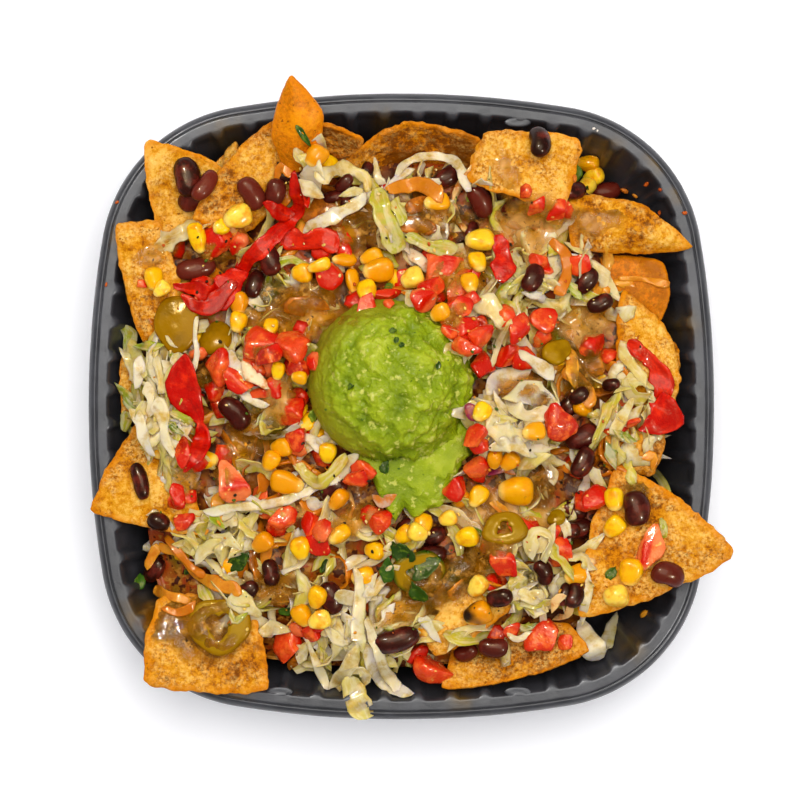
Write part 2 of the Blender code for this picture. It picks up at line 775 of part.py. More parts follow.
def build_loose(ground):
    """Lets each loose topping down on what is below it."""
    finishes = {kind: finish(*row) for kind, row in LOOSE_FINISHES.items()}
    counts = dict.fromkeys(BODIES, 0)
    for item in LOOSE:
        counts[item.kind] += 1
        points, faces = BODIES[item.kind](item.length, item.width)
        normal = ground.slope(item.x, item.y, item.length / 2)
        points = points @ axes_on(normal, item.heading_deg)
        points += np.array([item.x, item.y, 0.0])
        points[:, 2] += ground.lift(points, faces)
        name = f"{item.kind}_{counts[item.kind]:02d}"
        ground.add(make_solid(name, points, faces, finishes[item.kind]))


@dataclass
class Strip:
    """A cut strip: its route in plan, and its width and thickness in mm."""

    name: str
    route: tuple
    width: float
    thickness: float = 2.2


STRIPS = (
    Strip("pepper_strip_01", ((-37, 79), (-38.5, 71), (-47, 63.5), (-56, 54.5), (-64, 45)), 7.0),
    Strip("pepper_strip_02", ((-79, 12), (-80.5, 4), (-75, -3), (-74.5, -10), (-77, -19)), 6.5),
    Strip("pepper_strip_03", ((84, 22.5), (90, 17.5), (95, 9), (97, 0), (91, -5)), 6.5),
    Strip("pepper_strip_04", ((36, 62), (37.5, 55), (36, 47)), 7.5),
    Strip("onion_arc_01", ((55, 61), (60, 55), (60.5, 48), (58, 42)), 4.0),
    Strip("onion_arc_02", ((-90, -52), (-82, -55), (-76, -62), (-66, -66)), 5.0),
)


def smooth_route(route, count):
    """Points at equal shares of a Catmull-Rom curve through the route."""
    route = np.array(route, float)
    padded = np.vstack([2 * route[0] - route[1], route, 2 * route[-1] - route[-2]])
    places = []
    for share in np.linspace(0, len(route) - 1, count):
        i = min(int(share), len(route) - 2)
        t = share - i
        a, b, c, d = padded[i : i + 4]
        bend = 2 * a - 5 * b + 4 * c - d
        twist = -a + 3 * b - 3 * c + d
        places.append(0.5 * (2 * b + (c - a) * t + bend * t * t + twist * t**3))
    return np.array(places)


def build_strips(ground):
    """Lays each strip along its route, over whatever it crosses."""
    finishes = {
        "pepper": finish("roast_red_pepper", (0.62, 0.01, 0.01), 0.28),
        "onion": finish("cooked_onion", (0.75, 0.28, 0.04), 0.35),
    }
    for strip in STRIPS:
        centre = smooth_route(strip.route, STRIP_POINTS)
        forward = np.gradient(centre, axis=0)
        forward /= np.linalg.norm(forward, axis=1)[:, None]
        across = np.stack([-forward[:, 1], forward[:, 0]], axis=1) * strip.width / 2
        under = np.array([
            max(ground.height(*(place + side * k)) for k in (-1, -0.5, 0, 0.5, 1))
            for place, side in zip(centre, across)
        ])
        level = np.convolve(np.pad(under, 1, mode="edge"), [0.25, 0.5, 0.25], "valid")
        body = Body()
        half = strip.thickness / 2
        middle = level + half
        corners = (
            body.loop(centre + across, middle - half),
            body.loop(centre + across, middle + half * 0.6),
            body.loop(centre, middle + half),
            body.loop(centre - across, middle + half * 0.6),
            body.loop(centre - across, middle - half),
        )
        for first, second in zip(corners, corners[1:] + corners[:1]):
            body.faces += zip(first[:-1], first[1:], second[1:], second[:-1])
        for end in (0, -1):
            body.faces.append(tuple(row[end] for row in corners))
        points = np.array(body.points)
        points[:, 2] += ground.lift(points, triangles(body.faces))
        kind = strip.name.split("_")[0]
        ground.add(make_solid(strip.name, points, body.faces, finishes[kind]))


def triangles(faces):
    """The faces cut into triangles from their first corner."""
    return [(f[0], f[i], f[i + 1]) for f in faces for i in range(1, len(f) - 1)]


def main():
    """Builds the tray, then what lies in it from the bottom up."""
    clear_scene()
    ground = Ground()
    ground.add(build_tray())
    cutters = build_chips(ground)
    build_heap(cutters, ground)
    build_guacamole(ground)
    build_strips(ground)
    build_loose(ground)


main()
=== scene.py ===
"""Nachos heaped in a black moulded tray, dressed over their solid model.

Lengths in the classes below are millimetres, and MM turns them into metres
where a mesh is made. The tray stands on its flat floor at z = 0, with +Z up.
A heap is laid from the bottom up: each topping is let down on a relief map of
everything under it, and is then added to that map.
"""

import itertools
import logging
import math
from collections.abc import Sequence
from dataclasses import dataclass, field, replace
from enum import Enum

import bpy
import numpy as np
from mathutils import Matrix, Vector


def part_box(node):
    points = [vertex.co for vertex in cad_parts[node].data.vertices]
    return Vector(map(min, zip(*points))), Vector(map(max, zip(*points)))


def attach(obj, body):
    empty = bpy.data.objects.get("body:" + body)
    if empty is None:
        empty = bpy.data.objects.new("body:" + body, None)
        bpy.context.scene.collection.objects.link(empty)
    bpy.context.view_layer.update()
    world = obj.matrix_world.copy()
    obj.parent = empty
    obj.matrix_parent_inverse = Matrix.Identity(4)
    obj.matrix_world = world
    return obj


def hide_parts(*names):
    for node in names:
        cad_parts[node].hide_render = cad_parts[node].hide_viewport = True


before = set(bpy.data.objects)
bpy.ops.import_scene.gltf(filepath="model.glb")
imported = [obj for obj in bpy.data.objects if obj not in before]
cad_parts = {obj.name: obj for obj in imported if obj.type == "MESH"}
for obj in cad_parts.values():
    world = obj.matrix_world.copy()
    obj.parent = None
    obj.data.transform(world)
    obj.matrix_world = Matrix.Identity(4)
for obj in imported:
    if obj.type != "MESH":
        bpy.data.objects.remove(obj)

LOG = logging.getLogger("nachos")
MM = 0.001
FULL_TURN = 2 * math.pi
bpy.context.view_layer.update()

Colour = tuple[float, float, float]
Place = tuple[float, float]


def paint(red: int, green: int, blue: int) -> Colour:
    """Linear colour of a paint given as 0 to 255 display values."""
    shares = (v / 255 for v in (red, green, blue))
    return tuple(s / 12.92 if s <= 0.04045 else ((s + 0.055) / 1.055) ** 2.4 for s in shares)


def smoothstep(low: float, high: float, values: np.ndarray) -> np.ndarray:
    """Rises from 0 at low to 1 at high along 3t^2 - 2t^3."""
    share = np.clip((values - low) / (high - low), 0.0, 1.0)
    return share * share * (3 - 2 * share)


def turns(count: int) -> np.ndarray:
    """Angles of that many even steps once round."""
    return np.linspace(0, FULL_TURN, count, endpoint=False)


def circle(turn: np.ndarray) -> np.ndarray:
    """Places on a circle of radius 1 at the angles, with z = 0."""
    return np.stack([np.cos(turn), np.sin(turn), 0 * turn], axis=-1)


def ball(rows: int, columns: int, start: float = 0.0) -> np.ndarray:
    """Rings of a ball of radius 1: at angle a from the low pole and turn t, (sin a cos t, sin a sin t, -cos a).

    Args:
        rows: number of rings.
        columns: places in each ring.
        start: the first place's angle.

    Returns:
        The places, shape (rows, columns, 3).
    """
    angle = ((np.arange(rows) + 0.5) / rows * math.pi)[:, None]
    turn = (turns(columns) + start)[None, :]
    return np.stack([np.sin(angle) * np.cos(turn), np.sin(angle) * np.sin(turn), -np.cos(angle) + 0 * turn], axis=-1)


def raised_to(plan: np.ndarray, heights: np.ndarray) -> np.ndarray:
    """Places in plan joined to their heights."""
    return np.concatenate([plan, heights[..., None]], axis=-1)


def lattice(cells: np.ndarray, seed: int) -> np.ndarray:
    """Repeatable random number from 0 to 1 for each whole-number cell.

    The three coordinates are multiplied by large odd numbers, joined by
    exclusive or, and stirred twice by shift and multiply.

    Args:
        cells: whole coordinates, three in the last axis.
        seed: which field of numbers to use.

    Returns:
        One number from 0 to 1 for each cell.
    """
    whole = cells.astype(np.int64).astype(np.uint64)
    mixed = whole[..., 0] * np.uint64(73856093) ^ whole[..., 1] * np.uint64(19349663)
    mixed = mixed ^ whole[..., 2] * np.uint64(83492791) ^ np.uint64(seed * 2654435761 % 2**32)
    for shift, factor in ((15, 2246822519), (13, 3266489917)):
        mixed = (mixed ^ (mixed >> np.uint64(shift))) & np.uint64(0xFFFFFFFF)
        mixed = (mixed * np.uint64(factor)) & np.uint64(0xFFFFFFFF)
    return (mixed >> np.uint64(8)).astype(float) / float(2**24)


def noise(points: np.ndarray, size: float, seed: int) -> np.ndarray:
    """Smooth random field: lattice numbers blended with 3t^2 - 2t^3 along each axis.

    Args:
        points: places in mm, shape (..., 3).
        size: distance between lattice points in mm.
        seed: which field to use.

    Returns:
        Values from -1 to 1.
    """
    scaled = np.asarray(points, float) / size
    cell = np.floor(scaled)
    share = scaled - cell
    share = share * share * (3 - 2 * share)
    total = np.zeros(scaled.shape[:-1])
    for corner in itertools.product((0, 1), repeat=3):
        side = np.array(corner)
        weight = np.prod(np.where(side == 1, share, 1 - share), axis=-1)
        total += weight * lattice(cell + side, seed)
    return 2 * total - 1


def rough(points: np.ndarray, size: float, octaves: int, seed: int) -> np.ndarray:
    """Sum of noise fields, each with half the size and half the strength of the last.

    Args:
        points: places in mm.
        size: distance between lattice points of the first field, in mm.
        octaves: how many fields.
        seed: which field comes first.

    Returns:
        One value for each place.
    """
    total = np.zeros(np.shape(points)[:-1])
    for octave in range(octaves):
        total += noise(points, size / 2**octave, seed + octave) / 2**octave
    return total


def along_curve(knots: np.ndarray, count: int) -> np.ndarray:
    """Evenly shared places on the Catmull-Rom curve through the knots.

    Between knots b and c, with neighbours a and d, the place at share t is
    half of 2b + (c - a)t + (2a - 5b + 4c - d)t^2 + (3b - 3c + d - a)t^3.

    Args:
        knots: the curve's own places, one a row.
        count: how many places to return.

    Returns:
        The places, one a row.
    """
    knots = np.asarray(knots, float)
    padded = np.vstack([2 * knots[0] - knots[1], knots, 2 * knots[-1] - knots[-2]])
    share = np.linspace(0, len(knots) - 1, count)
    start = np.minimum(share.astype(int), len(knots) - 2)
    t = (share - start)[:, None]
    a, b, c, d = (padded[start + i] for i in range(4))
    return 0.5 * (2 * b + (c - a) * t + (2 * a - 5 * b + 4 * c - d) * t**2 + (3 * b - 3 * c + d - a) * t**3)


# --- Meshes as arrays --------------------------------------------------------


@dataclass
class Skin:
    """A surface as arrays: places in mm, four- and three-sided faces, and marks.

    Each mark is one number a place, kept as an attribute that the finish reads.
    """

    points: np.ndarray
    quads: np.ndarray
    tris: np.ndarray
    marks: dict[str, np.ndarray] = field(default_factory=dict)


def grid_quads(rows: int, columns: int, around: bool) -> np.ndarray:
    """Faces of a grid of places numbered row by row; around joins the last column to the first.

    Args:
        rows: number of rows.
        columns: places in each row.
        around: whether the last column meets the first.

    Returns:
        Four place numbers a face.
    """
    row = np.arange(rows - 1)[:, None]
    column = np.arange(columns if around else columns - 1)[None, :]
    after = (column + 1) % columns
    corners = (row * columns + column, row * columns + after)
    upper = (corners[1] + columns, corners[0] + columns)
    return np.stack([*corners, *upper], axis=-1).reshape(-1, 4)


def closed_faces(rows: int, columns: int) -> tuple[np.ndarray, np.ndarray]:
    """Faces of a closed body: rings row by row, then the first pole and the last pole.

    Args:
        rows: number of rings.
        columns: places in each ring, turning anticlockwise seen from the last pole.

    Returns:
        The quads between rings and the triangles round the two poles.
    """
    quads = grid_quads(rows, columns, True)
    column = np.arange(columns)
    after = (column + 1) % columns
    first_pole, last_pole = rows * columns, rows * columns + 1
    last = (rows - 1) * columns
    low = np.stack([after, column, np.full(columns, first_pole)], axis=1)
    high = np.stack([last + column, last + after, np.full(columns, last_pole)], axis=1)
    return quads, np.vstack([low, high])


def turned_out(skin: Skin) -> Skin:
    """The same closed body with its faces pointing out: turned over if its volume is negative.

    Args:
        skin: a closed body.

    Returns:
        The same body.
    """
    corners = skin.points[np.vstack([skin.tris, skin.quads[:, :3], skin.quads[:, [0, 2, 3]]])]
    corners = corners - skin.points.mean(axis=0)
    volume = np.einsum("ij,ij->i", corners[:, 0], np.cross(corners[:, 1], corners[:, 2])).sum()
    if volume < 0:
        skin.quads, skin.tris = skin.quads[:, ::-1], skin.tris[:, ::-1]
    return skin


def lump(rings: np.ndarray, *poles: Sequence[float]) -> Skin:
    """Closed body from rings of places, shape (rows, columns, 3), and two poles, or the end rings' middles."""
    ends = poles or (rings[0].mean(axis=0), rings[-1].mean(axis=0))
    return turned_out(Skin(np.vstack([rings.reshape(-1, 3), *ends]), *closed_faces(*rings.shape[:2])))


class Pile:
    """Bodies of one kind, gathered and joined into one mesh."""

    def __init__(self, name: str, *skins: Skin) -> None:
        """Starts with the bodies given."""
        self.name = name
        self.skins = list(skins)

    def add(self, skin: Skin) -> None:
        """Adds one body."""
        self.skins.append(skin)

    def build(self, material: bpy.types.Material, slot: str, *nodes: str) -> None:
        """Joins the bodies into one object, in metres, at the origin, and rides it on the tray's body.

        Args:
            material: the finish of the whole pile.
            slot: not used.
            nodes: the CAD nodes that the pile stands for.
        """
        starts = np.cumsum([0] + [len(s.points) for s in self.skins[:-1]])
        points = np.vstack([s.points for s in self.skins]) * MM
        quads = np.vstack([s.quads + n for s, n in zip(self.skins, starts)])
        tris = np.vstack([s.tris + n for s, n in zip(self.skins, starts)])
        corners = np.concatenate([quads.ravel(), tris.ravel()]).astype(np.int32)
        sizes = np.concatenate([np.full(len(quads), 4), np.full(len(tris), 3)]).astype(np.int32)
        mesh = bpy.data.meshes.new(self.name)
        mesh.vertices.add(len(points))
        mesh.vertices.foreach_set("co", points.astype(np.float32).ravel())
        mesh.loops.add(len(corners))
        mesh.loops.foreach_set("vertex_index", corners)
        mesh.polygons.add(len(sizes))
        mesh.polygons.foreach_set("loop_start", np.cumsum(sizes) - sizes)
        mesh.polygons.foreach_set("use_smooth", np.full(len(sizes), True))
        for mark in dict.fromkeys(mark for s in self.skins for mark in s.marks):
            values = [s.marks.get(mark, np.zeros(len(s.points))) for s in self.skins]
            layer = mesh.attributes.new(mark, "FLOAT", "POINT")
            layer.data.foreach_set("value", np.concatenate(values).astype(np.float32))
        mesh.update(calc_edges=True)
        mesh.materials.append(material)
        piece = bpy.data.objects.new(self.name, mesh)
        bpy.context.scene.collection.objects.link(piece)
        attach(piece, "root")
        if nodes:
            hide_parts(*nodes)
        LOG.info("%s: %d bodies, %d triangles", self.name, len(self.skins), 2 * len(quads) + len(tris))


# --- The relief map ----------------------------------------------------------


class Relief:
    """Height of the highest thing over each cell of a square map, in mm."""

    STEP = 0.5
    HALF = 127.0

    def __init__(self) -> None:
        """Starts flat at table height."""
        self.cells = int(2 * self.HALF / self.STEP)
        self.height = np.zeros((self.cells, self.cells))

    def index(self, places: np.ndarray) -> tuple[np.ndarray, np.ndarray]:
        """Cell numbers under places in plan.

        Args:
            places: places in mm, x and y first.

        Returns:
            Their cell numbers along X and along Y.
        """
        number = np.floor((places[..., :2] + self.HALF) / self.STEP).astype(int)
        number = np.clip(number, 0, self.cells - 1)
        return number[..., 0], number[..., 1]

    def at(self, places: np.ndarray) -> np.ndarray:
        """Height of the ground under places in plan."""
        return self.height[self.index(np.asarray(places, float))]

    def add(self, skin: Skin) -> None:
        """Raises the map to the body's surface.

        Each face is filled with places spread evenly between its corners,
        closer together than a cell is wide.

        Args:
            skin: the body, in its final place.
        """
        faces = np.vstack([skin.quads, skin.tris[:, [0, 1, 2, 2]]])
        corners = skin.points[faces]
        edges = np.linalg.norm(corners - np.roll(corners, 1, axis=1), axis=2)
        count = int(min(30, np.ceil(edges.max() / (0.9 * self.STEP)) + 1))
        u, v = np.meshgrid(np.linspace(0, 1, count), np.linspace(0, 1, count))
        shares = np.stack([(1 - u) * (1 - v), u * (1 - v), u * v, (1 - u) * v], axis=-1)
        spread = np.einsum("ijk,fkd->fijd", shares, corners).reshape(-1, 3)
        np.maximum.at(self.height, self.index(spread), spread[:, 2])

    def normal(self, x: float, y: float, reach: float, steepest: float) -> np.ndarray:
        """Unit normal of the best plane through the ground round a place.

        Args:
            x: place along X in mm.
            y: place along Y in mm.
            reach: half the width of the patch looked at, in mm.
            steepest: the largest slope allowed, as rise over run.

        Returns:
            The plane's unit normal.
        """
        steps = np.linspace(-reach, reach, 5)
        dx, dy = (side.ravel() for side in np.meshgrid(steps, steps))
        heights = self.at(np.stack([x + dx, y + dy], axis=1))
        spread = (dx**2).sum()
        slope_x, slope_y = (dx * heights).sum() / spread, (dy * heights).sum() / spread
        steep = max(1.0, math.hypot(slope_x, slope_y) / steepest)
        normal = np.array([-slope_x / steep, -slope_y / steep, 1.0])
        return normal / np.linalg.norm(normal)

    def blurred(self, reach: float) -> np.ndarray:
        """The map blurred by three passes of a box of that half-width, in mm.

        Args:
            reach: the box's half-width in mm.

        Returns:
            Heights in mm, one a cell.
        """
        half = max(1, int(round(reach / self.STEP)))
        result = self.height
        for axis, _ in itertools.product((0, 1), range(3)):
            padded = np.take(result, np.clip(np.arange(-half - 1, self.cells + half), 0, self.cells - 1), axis)
            total = np.cumsum(padded, axis=axis)
            width = 2 * half + 1
            ahead = np.take(total, np.arange(width, width + self.cells), axis)
            behind = np.take(total, np.arange(0, self.cells), axis)
            result = (ahead - behind) / width
        return result


def tilted(heading_deg: float, normal: np.ndarray, roll_deg: float = 0.0) -> np.ndarray:
    """Rows: a body's length, width and height directions on a slope.

    Args:
        heading_deg: direction of its length in plan.
        normal: unit normal of what it lies on.
        roll_deg: how far it is rolled about its own length.

    Returns:
        Three unit vectors, one a row.
    """
    heading, roll = math.radians(heading_deg), math.radians(roll_deg)
    length = np.array([math.cos(heading), math.sin(heading), 0.0])
    length -= normal * length.dot(normal)
    length /= np.linalg.norm(length)
    width = np.cross(normal, length)
    return np.array([
        length,
        width * math.cos(roll) + normal * math.sin(roll),
        normal * math.cos(roll) - width * math.sin(roll),
    ])


def let_down(relief: Relief, skin: Skin, share: float) -> None:
    """Moves the body straight up or down until it lies on the ground, and adds it to the map.

    The gap between each low place of the body and the ground under it is
    measured, and the body comes to where that share of them is under the
    ground: 1 just touches at one place, less lets the body sink in.

    Args:
        relief: the map it lies on.
        skin: the body.
        share: the share of its low places that end up under the ground's surface or just on it.
    """
    middle = skin.points[:, 2].mean()
    low = skin.points[skin.points[:, 2] <= middle]
    gaps = relief.at(low) - low[:, 2]
    skin.points[:, 2] += np.quantile(gaps, share)
    relief.add(skin)


# --- Finishes ----------------------------------------------------------------


class Effect(Enum):
    """The node groups that several finishes share."""

    MOTTLE = "Mottle"
    SPECKS = "Specks"
    GRAIN = "Grain"


class Web:
    """Small helper that adds and joins nodes in one tree."""

    def __init__(self, tree: bpy.types.NodeTree) -> None:
        """Works on the tree given."""
        self.tree = tree

    def add(self, kind: str, **settings: object) -> bpy.types.Node:
        """Adds a node and sets its own properties.

        Args:
            kind: the node's type.
            settings: its own properties.

        Returns:
            The node.
        """
        node = self.tree.nodes.new(kind)
        for key, value in settings.items():
            setattr(node, key, value)
        return node

    def feed(self, socket: bpy.types.NodeSocket, value: object) -> None:
        """Joins an output to the socket, or sets the socket's own value.

        Args:
            socket: the input.
            value: an output, a number or a colour.
        """
        if isinstance(value, bpy.types.NodeSocket):
            self.tree.links.new(value, socket)
        elif isinstance(value, tuple) and len(value) == 3 and socket.type == "RGBA":
            socket.default_value = (*value, 1.0)
        else:
            socket.default_value = value

    def math(self, operation: str, first: object, second: object = 0.0, clamp: bool = False) -> bpy.types.NodeSocket:
        """Result of one arithmetic step.

        Args:
            operation: the step's name.
            first: the first value.
            second: the second value.
            clamp: whether it is held from 0 to 1.

        Returns:
            The result's socket.
        """
        node = self.add("ShaderNodeMath", operation=operation, use_clamp=clamp)
        self.feed(node.inputs[0], first)
        self.feed(node.inputs[1], second)
        return node.outputs[0]

    def mix(self, share: object, first: object, second: object, blend: str = "MIX") -> bpy.types.NodeSocket:
        """Blend of two colours by a share from 0 to 1.

        Args:
            share: how much of the second.
            first: the first colour.
            second: the second colour.
            blend: how they are joined.

        Returns:
            The colour's socket.
        """
        node = self.add("ShaderNodeMix", data_type="RGBA", blend_type=blend)
        self.feed(node.inputs["Factor"], share)
        self.feed(node.inputs[6], first)
        self.feed(node.inputs[7], second)
        return node.outputs[2]

    def range(
        self, value: object, low: object, high: object, to_low: float = 0.0, to_high: object = 1.0
    ) -> bpy.types.NodeSocket:
        """Value moved from one range to another, with a smooth step and clamped ends.

        Args:
            value: what is moved.
            low: start of its range.
            high: end of its range.
            to_low: start of the new range.
            to_high: end of the new range.

        Returns:
            The result's socket.
        """
        node = self.add("ShaderNodeMapRange", interpolation_type="SMOOTHSTEP")
        for socket, number in zip(node.inputs, (value, low, high, to_low, to_high)):
            self.feed(socket, number)
        return node.outputs["Result"]

    def effect(self, effect: "Effect", **values: object) -> bpy.types.Node:
        """Adds a shared effect, named after it, with its own values.

        Args:
            effect: which effect.
            values: its inputs by name.

        Returns:
            The group's node.
        """
        node = self.add("ShaderNodeGroup", node_tree=EFFECTS.group(effect), name=effect.value)
        for name, value in values.items():
            self.feed(node.inputs[name], value)
        return node

    def mark(self, name: str) -> bpy.types.NodeSocket:
        """Value of the mesh attribute of that name."""
        return self.add("ShaderNodeAttribute", attribute_name=name).outputs["Fac"]

    def noise(
        self, size: object, detail: float = 3.0, roughness: float = 0.55, vector: object = None
    ) -> bpy.types.NodeSocket:
        """Noise on Object coordinates with features of about that size in mm.

        Args:
            size: size of its features in mm.
            detail: how many finer layers.
            roughness: how strong those are.
            vector: coordinates, if not the object's own.

        Returns:
            The value's socket.
        """
        node = self.add("ShaderNodeTexNoise")
        self.feed(node.inputs["Vector"], vector or self.add("ShaderNodeTexCoord").outputs["Object"])
        scale = self.math("DIVIDE", 1000.0, size) if isinstance(size, bpy.types.NodeSocket) else 1000.0 / size
        self.feed(node.inputs["Scale"], scale)
        self.feed(node.inputs["Detail"], detail)
        self.feed(node.inputs["Roughness"], roughness)
        return node.outputs["Fac"]

    def ramp(self, value: object, stops: tuple[tuple[float, Colour], ...]) -> bpy.types.NodeSocket:
        """Colour read from stops by a value from 0 to 1.

        Args:
            value: what is looked up.
            stops: places from 0 to 1 and their colours.

        Returns:
            The colour's socket.
        """
        node = self.add("ShaderNodeValToRGB")
        elements = node.color_ramp.elements
        while len(elements) < len(stops):
            elements.new(0.5)
        for element, (place, colour) in zip(elements, stops):
            element.position = place
            element.color = (*colour, 1.0)
        self.feed(node.inputs["Fac"], value)
        return node.outputs["Color"]


class Effects:
    """Builds each shared node group once and hands it out."""

    def __init__(self) -> None:
        """Starts with no group built."""
        self.groups: dict[Effect, bpy.types.NodeTree] = {}

    def group(self, effect: Effect) -> bpy.types.NodeTree:
        """The group for an effect, built the first time it is asked for.

        Args:
            effect: which effect.

        Returns:
            Its group.
        """
        if effect not in self.groups:
            tree = bpy.data.node_groups.new(effect.value, "ShaderNodeTree")
            getattr(self, "_" + effect.name.lower())(tree)
            self.groups[effect] = tree
        return self.groups[effect]

    @staticmethod
    def _sockets(
        tree: bpy.types.NodeTree, inputs: dict[str, object], outputs: dict[str, str]
    ) -> tuple[bpy.types.Node, bpy.types.Node]:
        """Makes the group's named inputs and outputs.

        Args:
            tree: the group.
            inputs: each input's name and its starting value, a colour or a number.
            outputs: each output's name and socket kind.

        Returns:
            The group's input node and output node.
        """
        for name, value in inputs.items():
            kind = "NodeSocketColor" if isinstance(value, tuple) else "NodeSocketFloat"
            socket = tree.interface.new_socket(name, in_out="INPUT", socket_type=kind)
            socket.default_value = (*value, 1.0) if isinstance(value, tuple) else value
        for name, kind in outputs.items():
            tree.interface.new_socket(name, in_out="OUTPUT", socket_type=kind)
        return tree.nodes.new("NodeGroupInput"), tree.nodes.new("NodeGroupOutput")

    def _mottle(self, tree: bpy.types.NodeTree) -> None:
        """Lets a second colour show through the first in soft patches.

        Args:
            tree: the empty group.
        """
        inputs = {"Base": (0.5, 0.5, 0.5), "Other": (0.5, 0.5, 0.5), "Amount": 0.5, "Size": 4.0, "Softness": 0.1}
        taken, given = self._sockets(tree, inputs, {"Color": "NodeSocketColor"})
        web = Web(tree)
        patches = web.noise(taken.outputs["Size"], 4.0, 0.6)
        edge = web.math("SUBTRACT", 1.0, taken.outputs["Amount"])
        low = web.math("SUBTRACT", edge, taken.outputs["Softness"])
        high = web.math("ADD", edge, taken.outputs["Softness"])
        mask = web.range(web.range(patches, 0.25, 0.75), low, high)
        web.feed(given.inputs["Color"], web.mix(mask, taken.outputs["Base"], taken.outputs["Other"]))

    def _specks(self, tree: bpy.types.NodeTree) -> None:
        """Scatters small uneven spots of a second colour, more of them in some patches.

        Args:
            tree: the empty group.
        """
        inputs = {"Base": (0.5, 0.5, 0.5), "Speck": (0.1, 0.05, 0.02), "Amount": 0.3, "Size": 1.2, "Patch": 7.0}
        taken, given = self._sockets(tree, inputs, {"Color": "NodeSocketColor"})
        web = Web(tree)
        fine = web.noise(taken.outputs["Size"], 2.0, 0.5)
        patch = web.range(web.noise(taken.outputs["Patch"], 1.0), 0.3, 0.7, -0.07, 0.07)
        level = web.math("ADD", web.math("ADD", fine, patch), web.math("MULTIPLY", taken.outputs["Amount"], 0.3))
        mask = web.range(level, 0.66, 0.74)
        web.feed(given.inputs["Color"], web.mix(mask, taken.outputs["Base"], taken.outputs["Speck"]))

    def _grain(self, tree: bpy.types.NodeTree) -> None:
        """Height of a fine uneven surface: large soft lumps with small ones on them.

        Args:
            tree: the empty group.
        """
        taken, given = self._sockets(tree, {"Size": 1.0, "Fine": 0.4}, {"Height": "NodeSocketFloat"})
        web = Web(tree)
        large = web.noise(taken.outputs["Size"], 3.0, 0.5)
        small = web.noise(web.math("MULTIPLY", taken.outputs["Size"], 0.3), 2.0, 0.6)
        web.feed(given.inputs["Height"], web.math("ADD", large, web.math("MULTIPLY", small, taken.outputs["Fine"])))


EFFECTS = Effects()


@dataclass(frozen=True)
class Finish:
    """How one kind of piece looks. Sizes are mm, and colours are linear.

    stops run from the lowest tone mark to the highest. The mottle colour shows
    in patches, the speck colour in spots, and end_colour takes over as the mark
    named by end_mark rises from 0 to 1. The piece fades as fade_mark falls to 0.
    """

    name: str
    stops: tuple[tuple[float, Colour], ...]
    mottle: Colour = (0.5, 0.5, 0.5)
    mottle_amount: float = 0.0
    mottle_size: float = 4.0
    mottle_soft: float = 0.15
    speck: Colour = (0.1, 0.05, 0.02)
    speck_amount: float = -1.0
    speck_size: float = 1.2
    end_mark: str = ""
    end_colour: Colour = (0.5, 0.5, 0.5)
    burn: Colour | None = None
    streak: Colour | None = None
    streak_amount: float = 0.7
    roughness: tuple[float, float] = (0.35, 0.5)
    roughness_size: float = 5.0
    grain_mm: float = 0.1
    grain_size: float = 1.0
    coat: float = 0.0
    coat_roughness: float = 0.1
    subsurface: float = 0.0
    subsurface_mm: tuple[float, float, float] = (2.0, 1.0, 0.5)
    specular: float = 0.22
    sheen_tint: Colour = (1.0, 0.75, 0.42)
    alpha: float = 1.0
    fade_mark: str = ""

    def surface_colour(self, web: Web) -> bpy.types.NodeSocket:
        """Joins the tone, mottle, end and speck colours in that order.

        Args:
            web: the material's nodes.

        Returns:
            The colour's socket.
        """
        colour = web.ramp(web.mark("tone"), self.stops)
        if self.mottle_amount > 0:
            node = web.effect(Effect.MOTTLE, Base=colour, Other=self.mottle, Amount=self.mottle_amount,
                              Size=self.mottle_size, Softness=self.mottle_soft)
            colour = node.outputs["Color"]
        if self.streak:
            place = web.add("ShaderNodeCombineXYZ")
            for socket, mark, scale in zip(place.inputs, ("across", "along", "tone"), (1.7, 0.07, 40.0)):
                web.feed(socket, web.math("MULTIPLY", web.mark(mark), scale))
            lines = web.range(web.noise(1000.0, 3.0, 0.6, place.outputs["Vector"]), 0.42, 0.62)
            colour = web.mix(web.math("MULTIPLY", lines, self.streak_amount), colour, self.streak)
        if self.end_mark:
            colour = web.mix(web.mark(self.end_mark), colour, self.end_colour)
        if self.speck_amount > -1:
            node = web.effect(
                Effect.SPECKS, Base=colour, Speck=self.speck, Amount=self.speck_amount, Size=self.speck_size)
            colour = node.outputs["Color"]
        if self.burn:
            colour = web.mix(web.mark("char"), colour, self.burn)
        return colour

    def material(self) -> bpy.types.Material:
        """The finish as a Principled material with grain, patchy gloss and its fixed values on the shader."""
        material = bpy.data.materials.new(self.name)
        material.use_nodes = True
        web = Web(material.node_tree)
        shader = material.node_tree.nodes["Principled BSDF"]
        web.feed(shader.inputs["Base Color"], self.surface_colour(web))
        patches = web.range(web.noise(self.roughness_size, 2.0), 0.35, 0.65, *self.roughness)
        web.feed(shader.inputs["Roughness"], patches)
        fixed = {"Specular IOR Level": self.specular, "Specular Tint": self.sheen_tint, "Coat Weight": self.coat,
                 "Coat Roughness": self.coat_roughness, "Subsurface Weight": self.subsurface,
                 "Subsurface Radius": self.subsurface_mm, "Subsurface Scale": MM, "Alpha": self.alpha}
        for name, value in fixed.items():
            web.feed(shader.inputs[name], value)
        if self.fade_mark:
            web.feed(shader.inputs["Alpha"], web.math("MULTIPLY", web.mark(self.fade_mark), self.alpha))
        if self.grain_mm > 0:
            grain = web.effect(Effect.GRAIN, Size=self.grain_size)
            bump = web.add("ShaderNodeBump")
            bump.inputs["Distance"].default_value = self.grain_mm * MM
            web.feed(bump.inputs["Height"], grain.outputs["Height"])
            web.feed(shader.inputs["Normal"], bump.outputs["Normal"])
        return material


# --- The tray ----------------------------------------------------------------


